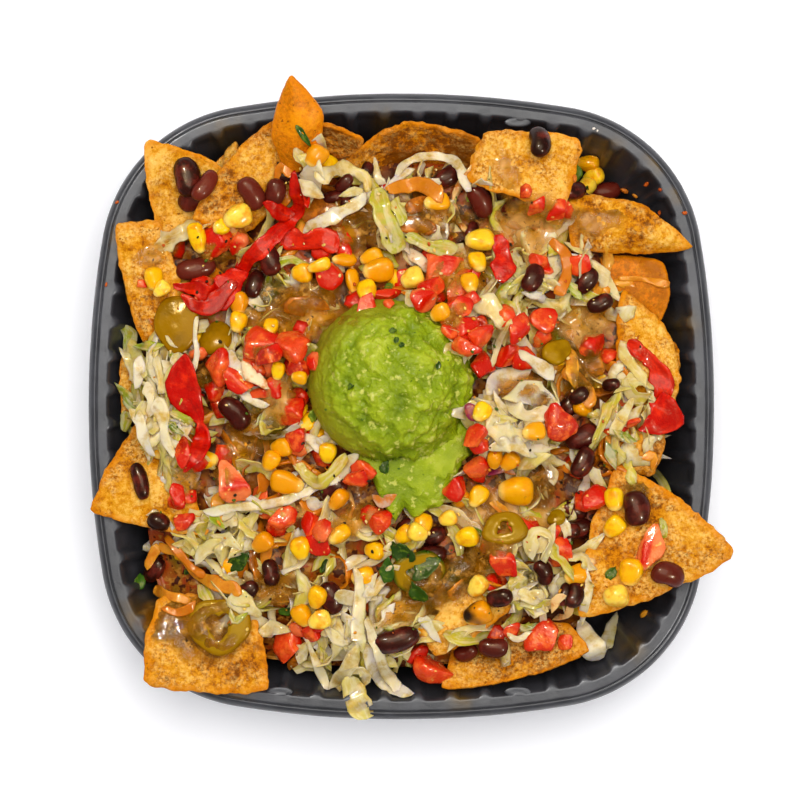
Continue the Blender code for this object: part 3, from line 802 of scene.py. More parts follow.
@dataclass
class Tray:
    """Thin moulded tray: a square with bowed sides, fluted walls, a flange and a rolled rim."""

    half_width: float = 116.0
    corner_radius: float = 59.0
    side_arc_deg: float = 9.5
    height: float = 45.0
    wall: float = 0.8
    flange_inner: float = 7.2
    rim_roll: float = 2.2
    skirt_drop: float = 4.5
    foot_inset: float = 21.5
    foot_z: float = 6.5
    floor_inset: float = 30.0
    corner_inset: float = 25.5
    corner_z: float = 2.2
    pockets: int = 60
    pocket_half: float = 3.8
    rib_start: float = 4.9
    flute: float = 2.0
    columns_per_pocket: int = 14
    inner_rows: int = 28
    wobble: float = 0.1
    rib_droop: float = 0.12
    lugs: tuple[Place, ...] = ((43.0, 106.6), (-45.0, -107.0), (43.0, -107.0))
    # Spots (x, y, size) where the inner wall is tinted olive-brown: painted reflections of the food in the glossy
    # plastic.
    stains: tuple[tuple[float, float, float], ...] = (
        (76, 94, 6), (-66, 101.5, 6.5), (-7, 105.5, 4), (93, 90, 4), (102, 78, 3), (-104, 62, 5), (85, -88, 5),
        (-99, -76, 6), (22, -108, 4), (104, 30, 5), (-60, -104, 5),
    )

    def arcs(self) -> tuple[float, float, float]:
        """Radius of the sides, how far their centres lie past the middle, and the corners' centre."""
        angle = math.radians(self.side_arc_deg)
        between = (self.half_width - self.corner_radius) / (math.sin(angle) + 1 - math.cos(angle))
        radius = self.corner_radius + between
        return radius, radius - self.half_width, between * math.sin(angle)

    def outline(self, inset: np.ndarray, normals: np.ndarray) -> np.ndarray:
        """Places on the tray's outline moved in by an inset.

        The outline is eight arcs that meet smoothly: a wide one on each side
        and a tight one on each corner. The normal's angle picks the arc.

        Args:
            inset: distance in from the outer edge in mm.
            normals: angle of the outline's normal for each place.

        Returns:
            Places in plan, shape (..., 2).
        """
        side_radius, shift, corner = self.arcs()
        angle = math.radians(self.side_arc_deg)
        quarter = np.round(normals / (math.pi / 2)) * (math.pi / 2)
        turned = normals - quarter
        on_side = np.abs(turned) <= angle
        radius = np.where(on_side, side_radius, self.corner_radius) - inset
        x = np.where(on_side, -shift, corner) + radius * np.cos(turned)
        y = np.where(on_side, 0.0, corner * np.sign(turned)) + radius * np.sin(turned)
        return np.stack([np.cos(quarter) * x - np.sin(quarter) * y, np.sin(quarter) * x + np.cos(quarter) * y], axis=-1)

    def wall_arcs(self) -> tuple[float, float, float, float]:
        """Radii of the wall's side and corner arcs, and the lengths of half a side arc and of a corner arc."""
        angle = math.radians(self.side_arc_deg)
        side_radius, corner_radius = self.arcs()[0] - self.flange_inner, self.corner_radius - self.flange_inner
        return side_radius, corner_radius, side_radius * angle, corner_radius * (math.pi / 2 - 2 * angle)

    def normals_at(self, share: np.ndarray) -> np.ndarray:
        """Normal angles at equal steps of length along the wall, share 1 being once round.

        Args:
            share: shares of the wall's length.

        Returns:
            Angles in radians.
        """
        angle = math.radians(self.side_arc_deg)
        side_radius, corner_radius, side, corner = self.wall_arcs()
        length = 2 * side + corner
        along = np.asarray(share) * 4 * length
        quarter = np.floor(along / length)
        rest = along - quarter * length
        bent = np.where(rest < side + corner, angle + (rest - side) / corner_radius,
                        math.pi / 2 - (length - rest) / side_radius)
        return quarter * (math.pi / 2) + np.where(rest < side, rest / side_radius, bent)

    def inset_at(self, places: np.ndarray) -> np.ndarray:
        """How far in from the outer edge each place in plan lies, in mm.

        Args:
            places: places in mm.

        Returns:
            One inset for each place.
        """
        side_radius, shift, corner = self.arcs()
        x, y = np.abs(places[..., 0]), np.abs(places[..., 1])
        x, y = np.maximum(x, y), np.minimum(x, y)
        angle = math.radians(self.side_arc_deg)
        on_side = y <= (x + shift) * math.tan(angle)
        to_side = side_radius - np.hypot(x + shift, y)
        return np.where(on_side, to_side, self.corner_radius - np.hypot(x - corner, y - corner))

    def wall_z(self, places: np.ndarray) -> np.ndarray:
        """Height that clears the tray at each place: a slope up to the flange, then a parabola down the rolled rim.

        Args:
            places: places in mm.

        Returns:
            One height in mm for each place.
        """
        inset = self.inset_at(places)
        share = np.clip((self.foot_inset - inset) / (self.foot_inset - self.flange_inner), 0, 1)
        rolled = self.height - 0.3 - self.skirt_drop * np.clip(1 - inset / self.rim_roll, 0, 1) ** 2
        return np.where(inset > self.rim_roll, self.foot_z + (self.height - self.foot_z) * share, rolled)

    def profile(self) -> np.ndarray:
        """Rows of (inset in a pocket, height, extra inset on a rib): up inside, over the rim and down outside."""
        top, t = self.height, self.wall
        drop = self.foot_inset - self.flange_inner
        rise = np.linspace(0, 1, 12)[1:-1]
        inner = [(self.foot_inset - drop * s, self.foot_z + (top - 1.6 - self.foot_z) * s,
                  self.flute * (0.5 + 0.5 * s)) for s in rise]
        outer = [(self.foot_inset - t - drop * s, self.foot_z - t / 2 + (top - 1.8 - self.foot_z) * s,
                  self.flute * (0.5 + 0.5 * s)) for s in rise[::-1]]
        rows = [(55, t, 0), (42, t, 0), (self.floor_inset, t, 0), (27.4, 1.15, 0),
                (self.corner_inset, self.corner_z, 0),
                (23.2, 4.1, 0.3), (self.foot_inset, self.foot_z, self.flute / 2), *inner,
                (7.9, top - 1.5, 1.75), (7.45, top - 0.7, 1.35), (7.2, top - 0.25, 0.85), (6.8, top, 0.5),
                (6.3, top, 0.15), (5.2, top - 0.02, 0), (4.1, top, 0), (3.6, top - 0.02, 0), (3.42, top - 0.2, 0),
                (3.3, top - 0.8, 0), (3.1, top - 0.85, 0), (2.95, top - 0.3, 0), (2.75, top - 0.12, 0),
                (2.2, top - 0.3, 0), (1.5, top - 0.85, 0), (0.8, top - 1.8, 0), (0.3, top - 3.0, 0),
                (0.05, top - 4.1, 0), (0.1, top - self.skirt_drop, 0), (0.7, top - self.skirt_drop, 0),
                (0.85, top - 4.0, 0), (1.6, top - 2.3, 0), (2.6, top - 1.2, 0), (3.3, top - 1.5, 0),
                (3.9, top - t, 0), (5.8, top - t, 0), (6.5, top - 1.4, 1.2), *outer,
                (self.foot_inset - t, self.foot_z - t / 2, self.flute / 2), (22.4, 3.4, 0.3),
                (24.4, 0.7, 0), (self.corner_inset, 0.12, 0), (26.4, 0, 0), (40, 0, 0), (55, 0, 0)]
        return np.array(rows, float)

    def shell(self) -> Skin:
        """The moulded shell.

        Each row of the profile is carried round the outline. Between pockets
        the wall stands further in by the rib's depth, with a smooth step from
        pocket to rib.
        """
        count = self.pockets * self.columns_per_pocket
        share = np.arange(count) / count
        normals = self.normals_at(share)
        side, corner = self.wall_arcs()[2:]
        pitch = 4 * (2 * side + corner) / self.pockets
        offset = np.abs((share * self.pockets + 0.5) % 1.0 - 0.5) * pitch
        rib = smoothstep(self.pocket_half, self.rib_start, offset)
        profile = self.profile()
        inset = profile[:, 0, None] + profile[:, 2, None] * rib
        plan = self.outline(inset, normals[None, :])
        droop = self.rib_droop * rib * (profile[:, 2, None] > 0.1)
        heights = np.broadcast_to(profile[:, 1, None], inset.shape) - droop
        rings = raised_to(plan, heights)
        wobble = rough(rings, 30.0, 2, 11) * self.wobble * smoothstep(2.0, 20.0, heights)
        rings = rings + np.stack([wobble, wobble, 0.6 * wobble], axis=-1)
        return lump(rings, (0, 0, self.wall), (0, 0, 0))

    def lug(self, x: float, y: float) -> Skin:
        """A stacking lug: a low half-moon shelf that bridges one pocket just under the flange.

        Args:
            x: its middle along X, in mm.
            y: its middle along Y, in mm.

        Returns:
            The lug's body.
        """
        turn = np.arange(24) / 24 * FULL_TURN
        inward = -math.copysign(1.0, y)
        level = np.array([[0.85, -1.3], [1.0, -0.9], [1.0, -0.35], [0.86, -0.1], [0.4, -0.3]])
        across = np.sign(np.cos(turn)) * np.abs(np.cos(turn)) ** 0.8 * 5.0
        depth = 1.6 + 1.7 * np.sin(turn)
        rings = np.zeros((5, 24, 3))
        rings[..., 0] = x + across * level[:, :1]
        rings[..., 1] = y + inward * (1.6 + (depth - 1.6) * level[:, :1])
        rings[..., 2] = self.height + level[:, 1:]
        return lump(rings)

    def build(self, relief: Relief) -> None:
        """Makes the tray, adds it to the relief map and dresses it: olive-brown painted reflections of the food round a
        few spots, on its inner side only.

        Args:
            relief: the map of heights.
        """
        shell = self.shell()
        relief.add(shell)
        count = len(shell.points)
        x, y = shell.points[:, 0], shell.points[:, 1]
        inner = np.arange(count) < self.inner_rows * self.pockets * self.columns_per_pocket
        patchy = (0.55 + 0.45 * noise(shell.points, 2.5, 31)) * inner
        # Painted reflection of the food: an olive-brown share round each spot, patchy, on the inner side only.
        grease = sum(np.exp(-(((x - at_x) ** 2 + (y - at_y) ** 2) / size**2)) for at_x, at_y, size in self.stains)
        shell.marks = {"tone": np.zeros(count), "grease": grease * patchy}
        Pile("moulded_tray", shell, *(self.lug(*place) for place in self.lugs)).build(self.material(), "tray", "tray")

    @staticmethod
    def material() -> bpy.types.Material:
        """Black plastic: a soft sheen with rubbed and hazy patches, olive-brown painted reflections of the food, and a
        fine leather grain.
        """
        return Finish(
            "black_plastic", ((0.0, (0.026, 0.026, 0.030)), (1.0, (0.034, 0.034, 0.040))),
            mottle=(0.042, 0.042, 0.049), mottle_amount=0.45, mottle_size=18.0, mottle_soft=0.3,
            speck=(0.10, 0.09, 0.08), speck_amount=-0.35, speck_size=0.7,
            # Olive-brown painted reflection of the food where that mark rises.
            end_mark="grease", end_colour=paint(98, 74, 22),
            roughness=(0.30, 0.46), roughness_size=9.0, grain_mm=0.06, grain_size=1.4, specular=0.38,
            sheen_tint=(1.0, 1.0, 1.0),
        ).material()


# --- Corn chips --------------------------------------------------------------


@dataclass(frozen=True)
class ChipShape:
    """One chip: its node, its corners in mm, and how its sheet departs from flat.

    crown lifts the middle, wave lifts two opposite sides and lowers the other
    two, and bow swells each side by that share of its length.
    """

    node: str
    corners: tuple[tuple[float, float, float], ...]
    crown: float = 2.5
    wave: float = 1.0
    phase_deg: float = 0.0
    fried: bool = False
    # How dark the chip is: its toasting, and on chip_02, chip_03 and chip_06 also the painted shade they lie in.
    toast: float = 0.5


# Each chip's darkness value is mostly toasting; the high values on chip_02, chip_03 and chip_06 also paint the shade
# those chips lie in.
CHIP_SHAPES = (
    ChipShape("chip_16", ((-61, 99, 44), (-69, 90, 40), (-57, 84, 40)), crown=0.8),
    ChipShape("chip_14", ((-94, 98.5, 51), (-61, 86, 47), (-73, 62, 42), (-90, 63, 44)), crown=-2.5, wave=1.5,
              toast=0.3),
    ChipShape("chip_13", ((-106, 67.5, 48), (-90, 69, 46), (-80, 40, 43), (-95, 22, 43)), crown=3.0, toast=0.58),
    ChipShape("chip_15", ((-48, 105.5, 54), (-78, 69.5, 52), (-60, 62, 47), (-36, 82, 48)), crown=3.0, toast=0.72),
    ChipShape("chip_03", ((-22, 91, 48), (2, 104.5, 54), (30, 99, 52), (24, 86, 38), (-6, 84, 36)), crown=-3.0,
              toast=1.0),
    ChipShape("chip_02", ((-38, 104.5, 57), (-13, 97, 53), (-22, 91, 38), (-33, 93, 38)), crown=-2.0, toast=0.9),
    ChipShape("chip_01", ((-40, 119.5, 70), (-28, 106, 63), (-31, 90, 50), (-41, 84, 46), (-48, 100, 56)),
              crown=4.0, wave=0.5, fried=True, toast=0.5),
    ChipShape("chip_04", ((30, 101, 49), (66, 98, 52), (60, 73, 51), (23, 83, 50)), crown=2.0, wave=-1.5, toast=0.48),
    ChipShape("chip_06", ((73, 56, 42), (97, 54, 43), (100, 42, 42), (96, 31, 41), (76, 34, 40)), crown=1.5,
              fried=True, toast=1.0),
    ChipShape("chip_05", ((62, 78, 49), (88, 75.5, 49), (108.5, 58, 48.5), (62, 58, 48)), crown=3.5, wave=1.5,
              toast=0.62),
    ChipShape("chip_19", ((92, 30, 37), (103, 22, 38), (103, 7, 38), (92, 4, 37)), crown=0.5, toast=0.6),
    ChipShape("chip_07", ((81, 44, 47), (99, 29, 45), (103, 8, 44), (97, -10, 44), (80, 4, 46)), toast=0.5),
    ChipShape("chip_08", ((76, -6, 43), (98, -8, 40), (93, -26, 40), (74, -22, 42)), crown=2.0, wave=1.5, toast=0.8),
    ChipShape("chip_09", ((79, -20, 47), (124.5, -54, 51), (64, -79, 47)), crown=2.0, phase_deg=60, toast=0.62),
    ChipShape("chip_17", ((-103.5, 20, 39), (-96, 21, 40), (-94, -4, 40), (-103, -6, 39)), crown=0.5, toast=0.6),
    ChipShape("chip_12", ((-115, -39, 48), (-97, -4, 46), (-70, -47.5, 47)), crown=1.5, phase_deg=200, toast=0.5),
    ChipShape("chip_11", ((-95.5, -102.5, 51), (-48, -104.5, 50), (-56, -72, 45), (-90, -70, 43)), crown=1.5, wave=1.5,
              toast=0.72),
    ChipShape("chip_10", ((15, -105, 43), (70, -91, 46), (62, -80, 41), (20, -88, 36)), crown=-2.5, toast=0.72),
    ChipShape("chip_18", ((12, -93.5, 49), (42, -73, 50), (24, -66, 48), (6, -80, 48)), crown=2.0, toast=0.38),
)


@dataclass
class Chips:
    """Corn chips: thin curved sheets, blistered and rough, with crumbling edges."""

    thickness: float = 1.9
    bow: float = 0.05
    corner_cut: float = 0.08
    places_per_side: int = 46
    rows: int = 34
    blister_count: int = 46

    def edge(self, corners: np.ndarray) -> np.ndarray:
        """Loop round a chip's corners, bowed along its sides and rounded at its corners.

        At share w of a side the place is on the straight line, moved out by
        bow * length * 4w(1 - w). Nearer a corner than corner_cut it follows a
        parabola that touches both sides.

        Args:
            corners: the corners in mm, one a row.

        Returns:
            The loop's places, one a row.
        """
        share = (np.arange(self.places_per_side) + 0.5) / self.places_per_side - 0.5
        before, after = np.roll(corners, 1, axis=0)[:, None], np.roll(corners, -1, axis=0)[:, None]
        here = corners[:, None]
        target = np.where(share[None, :, None] > 0, after, before)
        along = np.abs(share)[None, :, None]
        outward = (here + target) / 2 - corners.mean(axis=0)
        outward = outward / np.linalg.norm(outward, axis=-1, keepdims=True)
        length = np.linalg.norm(target - here, axis=-1, keepdims=True)
        place = here + (target - here) * along + outward * self.bow * length * 4 * along * (1 - along)
        inner = np.clip(1 - along / self.corner_cut, 0, None) ** 2 * self.corner_cut / 2
        return (place + ((before + after) / 2 - here) * inner).reshape(-1, 3)

    def skin(self, shape: ChipShape, seed: int) -> Skin:
        """The chip's closed surface.

        From the middle (s = 0) to the edge (s = 1) the sheet is on the straight
        line, lifted by crown (1 - s^2) + wave s^2 cos(2t + phase). Round
        blisters, lumps and a fine grain stand on both faces, the outline is
        crumbled, and the rim is rounded.

        Args:
            shape: the chip.
            seed: picks its blisters and its crumbling.

        Returns:
            The surface, with marks for its darkness (toasting, and on some chips painted shade), its edge and its
            raised places.
        """
        chance = np.random.default_rng(seed)
        corners = np.array(shape.corners, float)
        middle = corners.mean(axis=0)
        normal = np.cross(corners, np.roll(corners, -1, axis=0)).sum(axis=0)
        normal /= np.linalg.norm(normal) * math.copysign(1.0, normal[2])
        edge = self.edge(corners)
        turn = turns(len(edge))
        ripple = shape.wave * np.cos(2 * turn + math.radians(shape.phase_deg))
        crumble = rough(edge + seed * 37.0, 7.0, 2, seed) * 0.6 + rough(edge, 2.6, 2, seed + 5) * 0.6
        away = (edge - middle) / np.linalg.norm(edge - middle, axis=1)[:, None]
        edge = edge + away * (crumble * (0.35 if shape.fried else 1.0) - 0.35)[:, None]
        s = 1 - (1 - np.linspace(0, 1, self.rows + 1)[1:]) ** 1.25
        lift = shape.crown * (1 - s[:, None] ** 2) + ripple * s[:, None] ** 2
        sheet = middle + (edge - middle) * s[:, None, None] + lift[..., None] * normal
        scatter = chance.random((self.blister_count, 2))
        spots = middle + (edge[(scatter[:, 0] * len(edge)).astype(int)] - middle) * np.sqrt(scatter[:, 1:]) * 0.95
        radius = chance.uniform(0.8, 3.0, self.blister_count)
        gaps = np.linalg.norm(sheet[..., None, :] - spots, axis=-1)
        rise = chance.uniform(0.15, 0.95, self.blister_count) * (0.3 if shape.fried else 1.0)
        blisters = (rise * np.exp(-((gaps / radius) ** 2) * 1.6)).sum(axis=-1)
        lumps = rough(sheet, 8.0, 2, seed + 9) * 0.55 * (0.5 if shape.fried else 1.0)
        fine = rough(sheet, 2.4, 2, seed + 13) * (0.06 if shape.fried else 0.30)
        fold = 0.9 * rough(sheet, 22.0, 1, seed + 21) * s[:, None]
        half = self.thickness / 2 * np.sqrt(np.clip(1 - ((s - 0.93) / 0.07).clip(0, 1) ** 2 * 0.85, 0, 1))[:, None]
        upper = sheet + ((half + lumps + blisters + fine + fold)[..., None]) * normal
        lower = sheet + ((-half + lumps * 0.8 - 0.3 * blisters - fine + fold)[..., None]) * normal
        skin = lump(np.concatenate([upper, lower[::-1]], axis=0))
        rim = smoothstep(0.80, 1.0, s)[:, None] * np.ones(len(edge))
        raised = np.clip(blisters * 0.9 + lumps * 0.5 + fine * 1.2, -1, 1) * 0.5 + 0.5
        skin.marks = {
            "tone": np.full(len(skin.points), shape.toast),
            "edge": np.concatenate([rim.ravel(), rim[::-1].ravel(), [0, 0]]),
            "raised": np.concatenate([raised.ravel(), 0.8 * raised[::-1].ravel(), [0.5, 0.5]]),
        }
        return skin

    def build(self, relief: Relief) -> None:
        """Makes each chip where its CAD node lies, and adds it to the map.

        Args:
            relief: the map of heights.
        """
        dry, fried = self.dry_material(), self.fried_material()
        for number, shape in enumerate(CHIP_SHAPES):
            skin = self.skin(shape, 100 + 31 * number)
            low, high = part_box(shape.node)
            skin.points[:, 2] += (low.z + high.z) / 2 / MM - (skin.points[:, 2].min() + skin.points[:, 2].max()) / 2
            relief.add(skin)
            look = (fried, "fried_corn_chip") if shape.fried else (dry, "corn_chip")
            Pile("corn_" + shape.node, skin).build(*look, shape.node)

    @staticmethod
    def dressed(finish: Finish, pale: Colour, brown: Colour, rim_colour: Colour) -> bpy.types.Material:
        """Chip material: its tone wanders from place to place, raised places are floury, and the highest toasted.

        Args:
            finish: colours from palest to darkest, for toasting and on some chips painted shade; specks, gloss and
                grain.
            pale: colour of floury bumps.
            brown: colour of toasted blisters.
            rim_colour: colour of the fried rim.

        Returns:
            The finished material.
        """
        material = finish.material()
        web = Web(material.node_tree)
        wander = web.math("ADD", web.range(web.noise(2.2, 4.0, 0.8), 0.32, 0.70, -0.36, 0.34),
                          web.range(web.noise(14.0, 2.0), 0.35, 0.65, -0.25, 0.25))
        tone = web.math("ADD", web.mark("tone"), wander, clamp=True)
        base = web.ramp(tone, finish.stops)
        fine = web.range(web.noise(1.2, 3.0, 0.65), 0.36, 0.68, 0.0, web.range(web.mark("tone"), 0.45, 1.0, 0.9, 0.4))
        floury = web.math("MULTIPLY", fine, web.range(web.mark("raised"), 0.38, 0.66), clamp=True)
        colour = web.mix(web.math("MULTIPLY", floury, 0.85), base, pale)
        patches = web.range(web.noise(2.4, 3.0), 0.35, 0.62)
        toasted = web.math("MULTIPLY", web.range(web.mark("raised"), 0.78, 1.0), patches)
        colour = web.mix(web.math("MULTIPLY", toasted, 0.28), colour, brown)
        rim = web.math("MULTIPLY", web.mark("edge"), web.range(web.noise(5.0, 2.0), 0.3, 0.7, 0.35, 1.0))
        specks = material.node_tree.nodes[Effect.SPECKS.value]
        web.feed(specks.inputs["Base"], web.mix(web.math("MULTIPLY", rim, 0.8), colour, rim_colour))
        return material

    def dry_material(self) -> bpy.types.Material:
        """Gold, floury and speckled brown."""
        finish = Finish(
            "corn_chip", ((0.0, paint(240, 182, 76)), (0.3, paint(222, 152, 26)), (0.55, paint(206, 128, 2)),
                          (0.8, paint(174, 96, 0)), (1.0, paint(120, 60, 0))),
            speck=paint(150, 84, 8), speck_amount=-0.1, speck_size=1.6,
            roughness=(0.5, 0.8), specular=0.1, grain_mm=0.35, grain_size=1.1,
            subsurface=0.1, subsurface_mm=(1.6, 0.8, 0.3),
        )
        return self.dressed(finish, paint(254, 208, 114), paint(166, 80, 0), paint(222, 128, 0))

    def fried_material(self) -> bpy.types.Material:
        """Deep amber, smooth and oily, with few specks."""
        finish = Finish(
            "fried_corn_chip", ((0.0, paint(238, 148, 4)), (0.5, paint(216, 118, 0)), (1.0, paint(166, 88, 0))),
            speck=paint(140, 70, 4), speck_amount=-0.1, speck_size=1.6,
            roughness=(0.36, 0.55), specular=0.12, grain_mm=0.12, grain_size=1.4,
            subsurface=0.15, subsurface_mm=(2.0, 0.9, 0.3),
        )
        return self.dressed(finish, paint(238, 152, 18), paint(196, 100, 2), paint(224, 128, 2))




# --- The heap's core and the guacamole ---------------------------------------


@dataclass
class Mound:
    """The heap's shape: a dome over the tray with swells, and scant places at its edge.

    Each scant place is (direction in degrees, extra room from the wall in mm,
    half-width in degrees).
    """

    tray: Tray
    reach: float = 108.0
    edge_z: float = 41.0
    top_z: float = 57.0
    rim_inset: float = 16.5
    room: float = 3.0
    scant: tuple[tuple[float, float, float], ...] = ((-45, 10, 24), (44, 9, 20), (-10, 6, 20), (80, 4, 22))
    core_drop: float = 5.5

    def height(self, places: np.ndarray) -> np.ndarray:
        """Height of the heap's top: the dome edge + rise * (1 - (r / reach)^2.2), with waves on it.

        Args:
            places: places in mm.

        Returns:
            One height in mm for each place.
        """
        x, y = places[..., 0], places[..., 1]
        far = np.hypot(x, y) / self.reach
        dome = self.edge_z + (self.top_z - self.edge_z) * np.clip(1 - far**2.2, 0, None)
        swells = 1.6 * np.sin(x / 8.5 + 0.7) * np.cos(y / 9.5) + 1.2 * np.sin((x - y) / 13.0 + 1.0)
        return dome + swells * np.clip(far * 1.8 - 0.3, 0.1, 1.0)

    def room_at(self, places: np.ndarray) -> np.ndarray:
        """Room between the heap and the wall: smooth bumps at the scant places.

        Args:
            places: places in mm.

        Returns:
            One gap in mm for each place.
        """
        direction = np.degrees(np.arctan2(places[..., 1], places[..., 0]))
        room = np.full(direction.shape, self.room)
        for centre, extra, width in self.scant:
            away = (direction - centre + 180.0) % 360.0 - 180.0
            room = room + extra * np.exp(-((away / width) ** 2))
        return room

    def inside(self, places: np.ndarray, margin: float) -> np.ndarray:
        """Whether each place is over the heap, at least the margin in from its edge."""
        return self.tray.inset_at(places) > self.rim_inset + self.room_at(places) + margin

    def core(self, relief: Relief) -> None:
        """The dark lumpy mass under the toppings; its dark colours are partly painted shade for the gaps between them.

        Rings run from the middle out over the top to the heap's edge, and then
        down the wall to the floor. The top is the mound less core_drop, with
        lumps the size of the things buried in it.

        Args:
            relief: the map of heights.
        """
        columns = 300
        normals = self.tray.normals_at(np.arange(columns) / columns)
        edge = self.tray.outline(np.zeros(columns), normals)
        inward = np.stack([np.cos(normals), np.sin(normals)], axis=-1)
        room = self.room_at(edge)
        rim = edge - inward * (self.rim_inset + room + 0.5)[:, None]
        shares = np.linspace(0.01, 1, 90)[:, None, None]
        plan = rim * shares
        lumps = rough(raised_to(plan, np.zeros(plan.shape[:2])), 9.0, 3, 77)
        top = self.height(plan) - self.core_drop + 1.7 * lumps - 2.0 * smoothstep(0.9, 1.0, shares[..., 0])
        rings = [raised_to(plan, top)]
        for inset, z in ((15.8, 36.0), (15.6, 30.0), (18.5, 22.0), (23.5, 10.0), (30.0, 2.4)):
            extra = room if z > 20 else room * 0.4
            side = edge - inward * (inset + extra)[:, None]
            rings.append(raised_to(side, np.full(columns, z))[None])
        middle = self.height(np.zeros(2)) - self.core_drop
        skin = lump(np.concatenate(rings), (0, 0, middle), (0, 0, 2.4))
        skin.marks = {"tone": rough(skin.points, 7.0, 2, 91) * 0.5 + 0.5}
        relief.add(skin)
        # The core's dark colours are partly the buried toppings' own and partly painted shade in the gaps between the
        # toppings above.
        Pile("buried_toppings", skin).build(Finish(
            "buried_toppings",
            ((0.0, paint(40, 14, 4)), (0.3, paint(100, 42, 8)), (0.5, paint(136, 76, 12)), (0.7, paint(150, 50, 12)),
             (1.0, paint(120, 96, 14))),
            mottle=paint(168, 110, 36), mottle_amount=0.3, mottle_size=3.5,
            speck=paint(60, 12, 4), speck_amount=0.4, speck_size=2.5,
            roughness=(0.25, 0.5), grain_mm=0.3, grain_size=2.5, coat=0.1,
        ).material(), "small_toppings", "topping_heap")


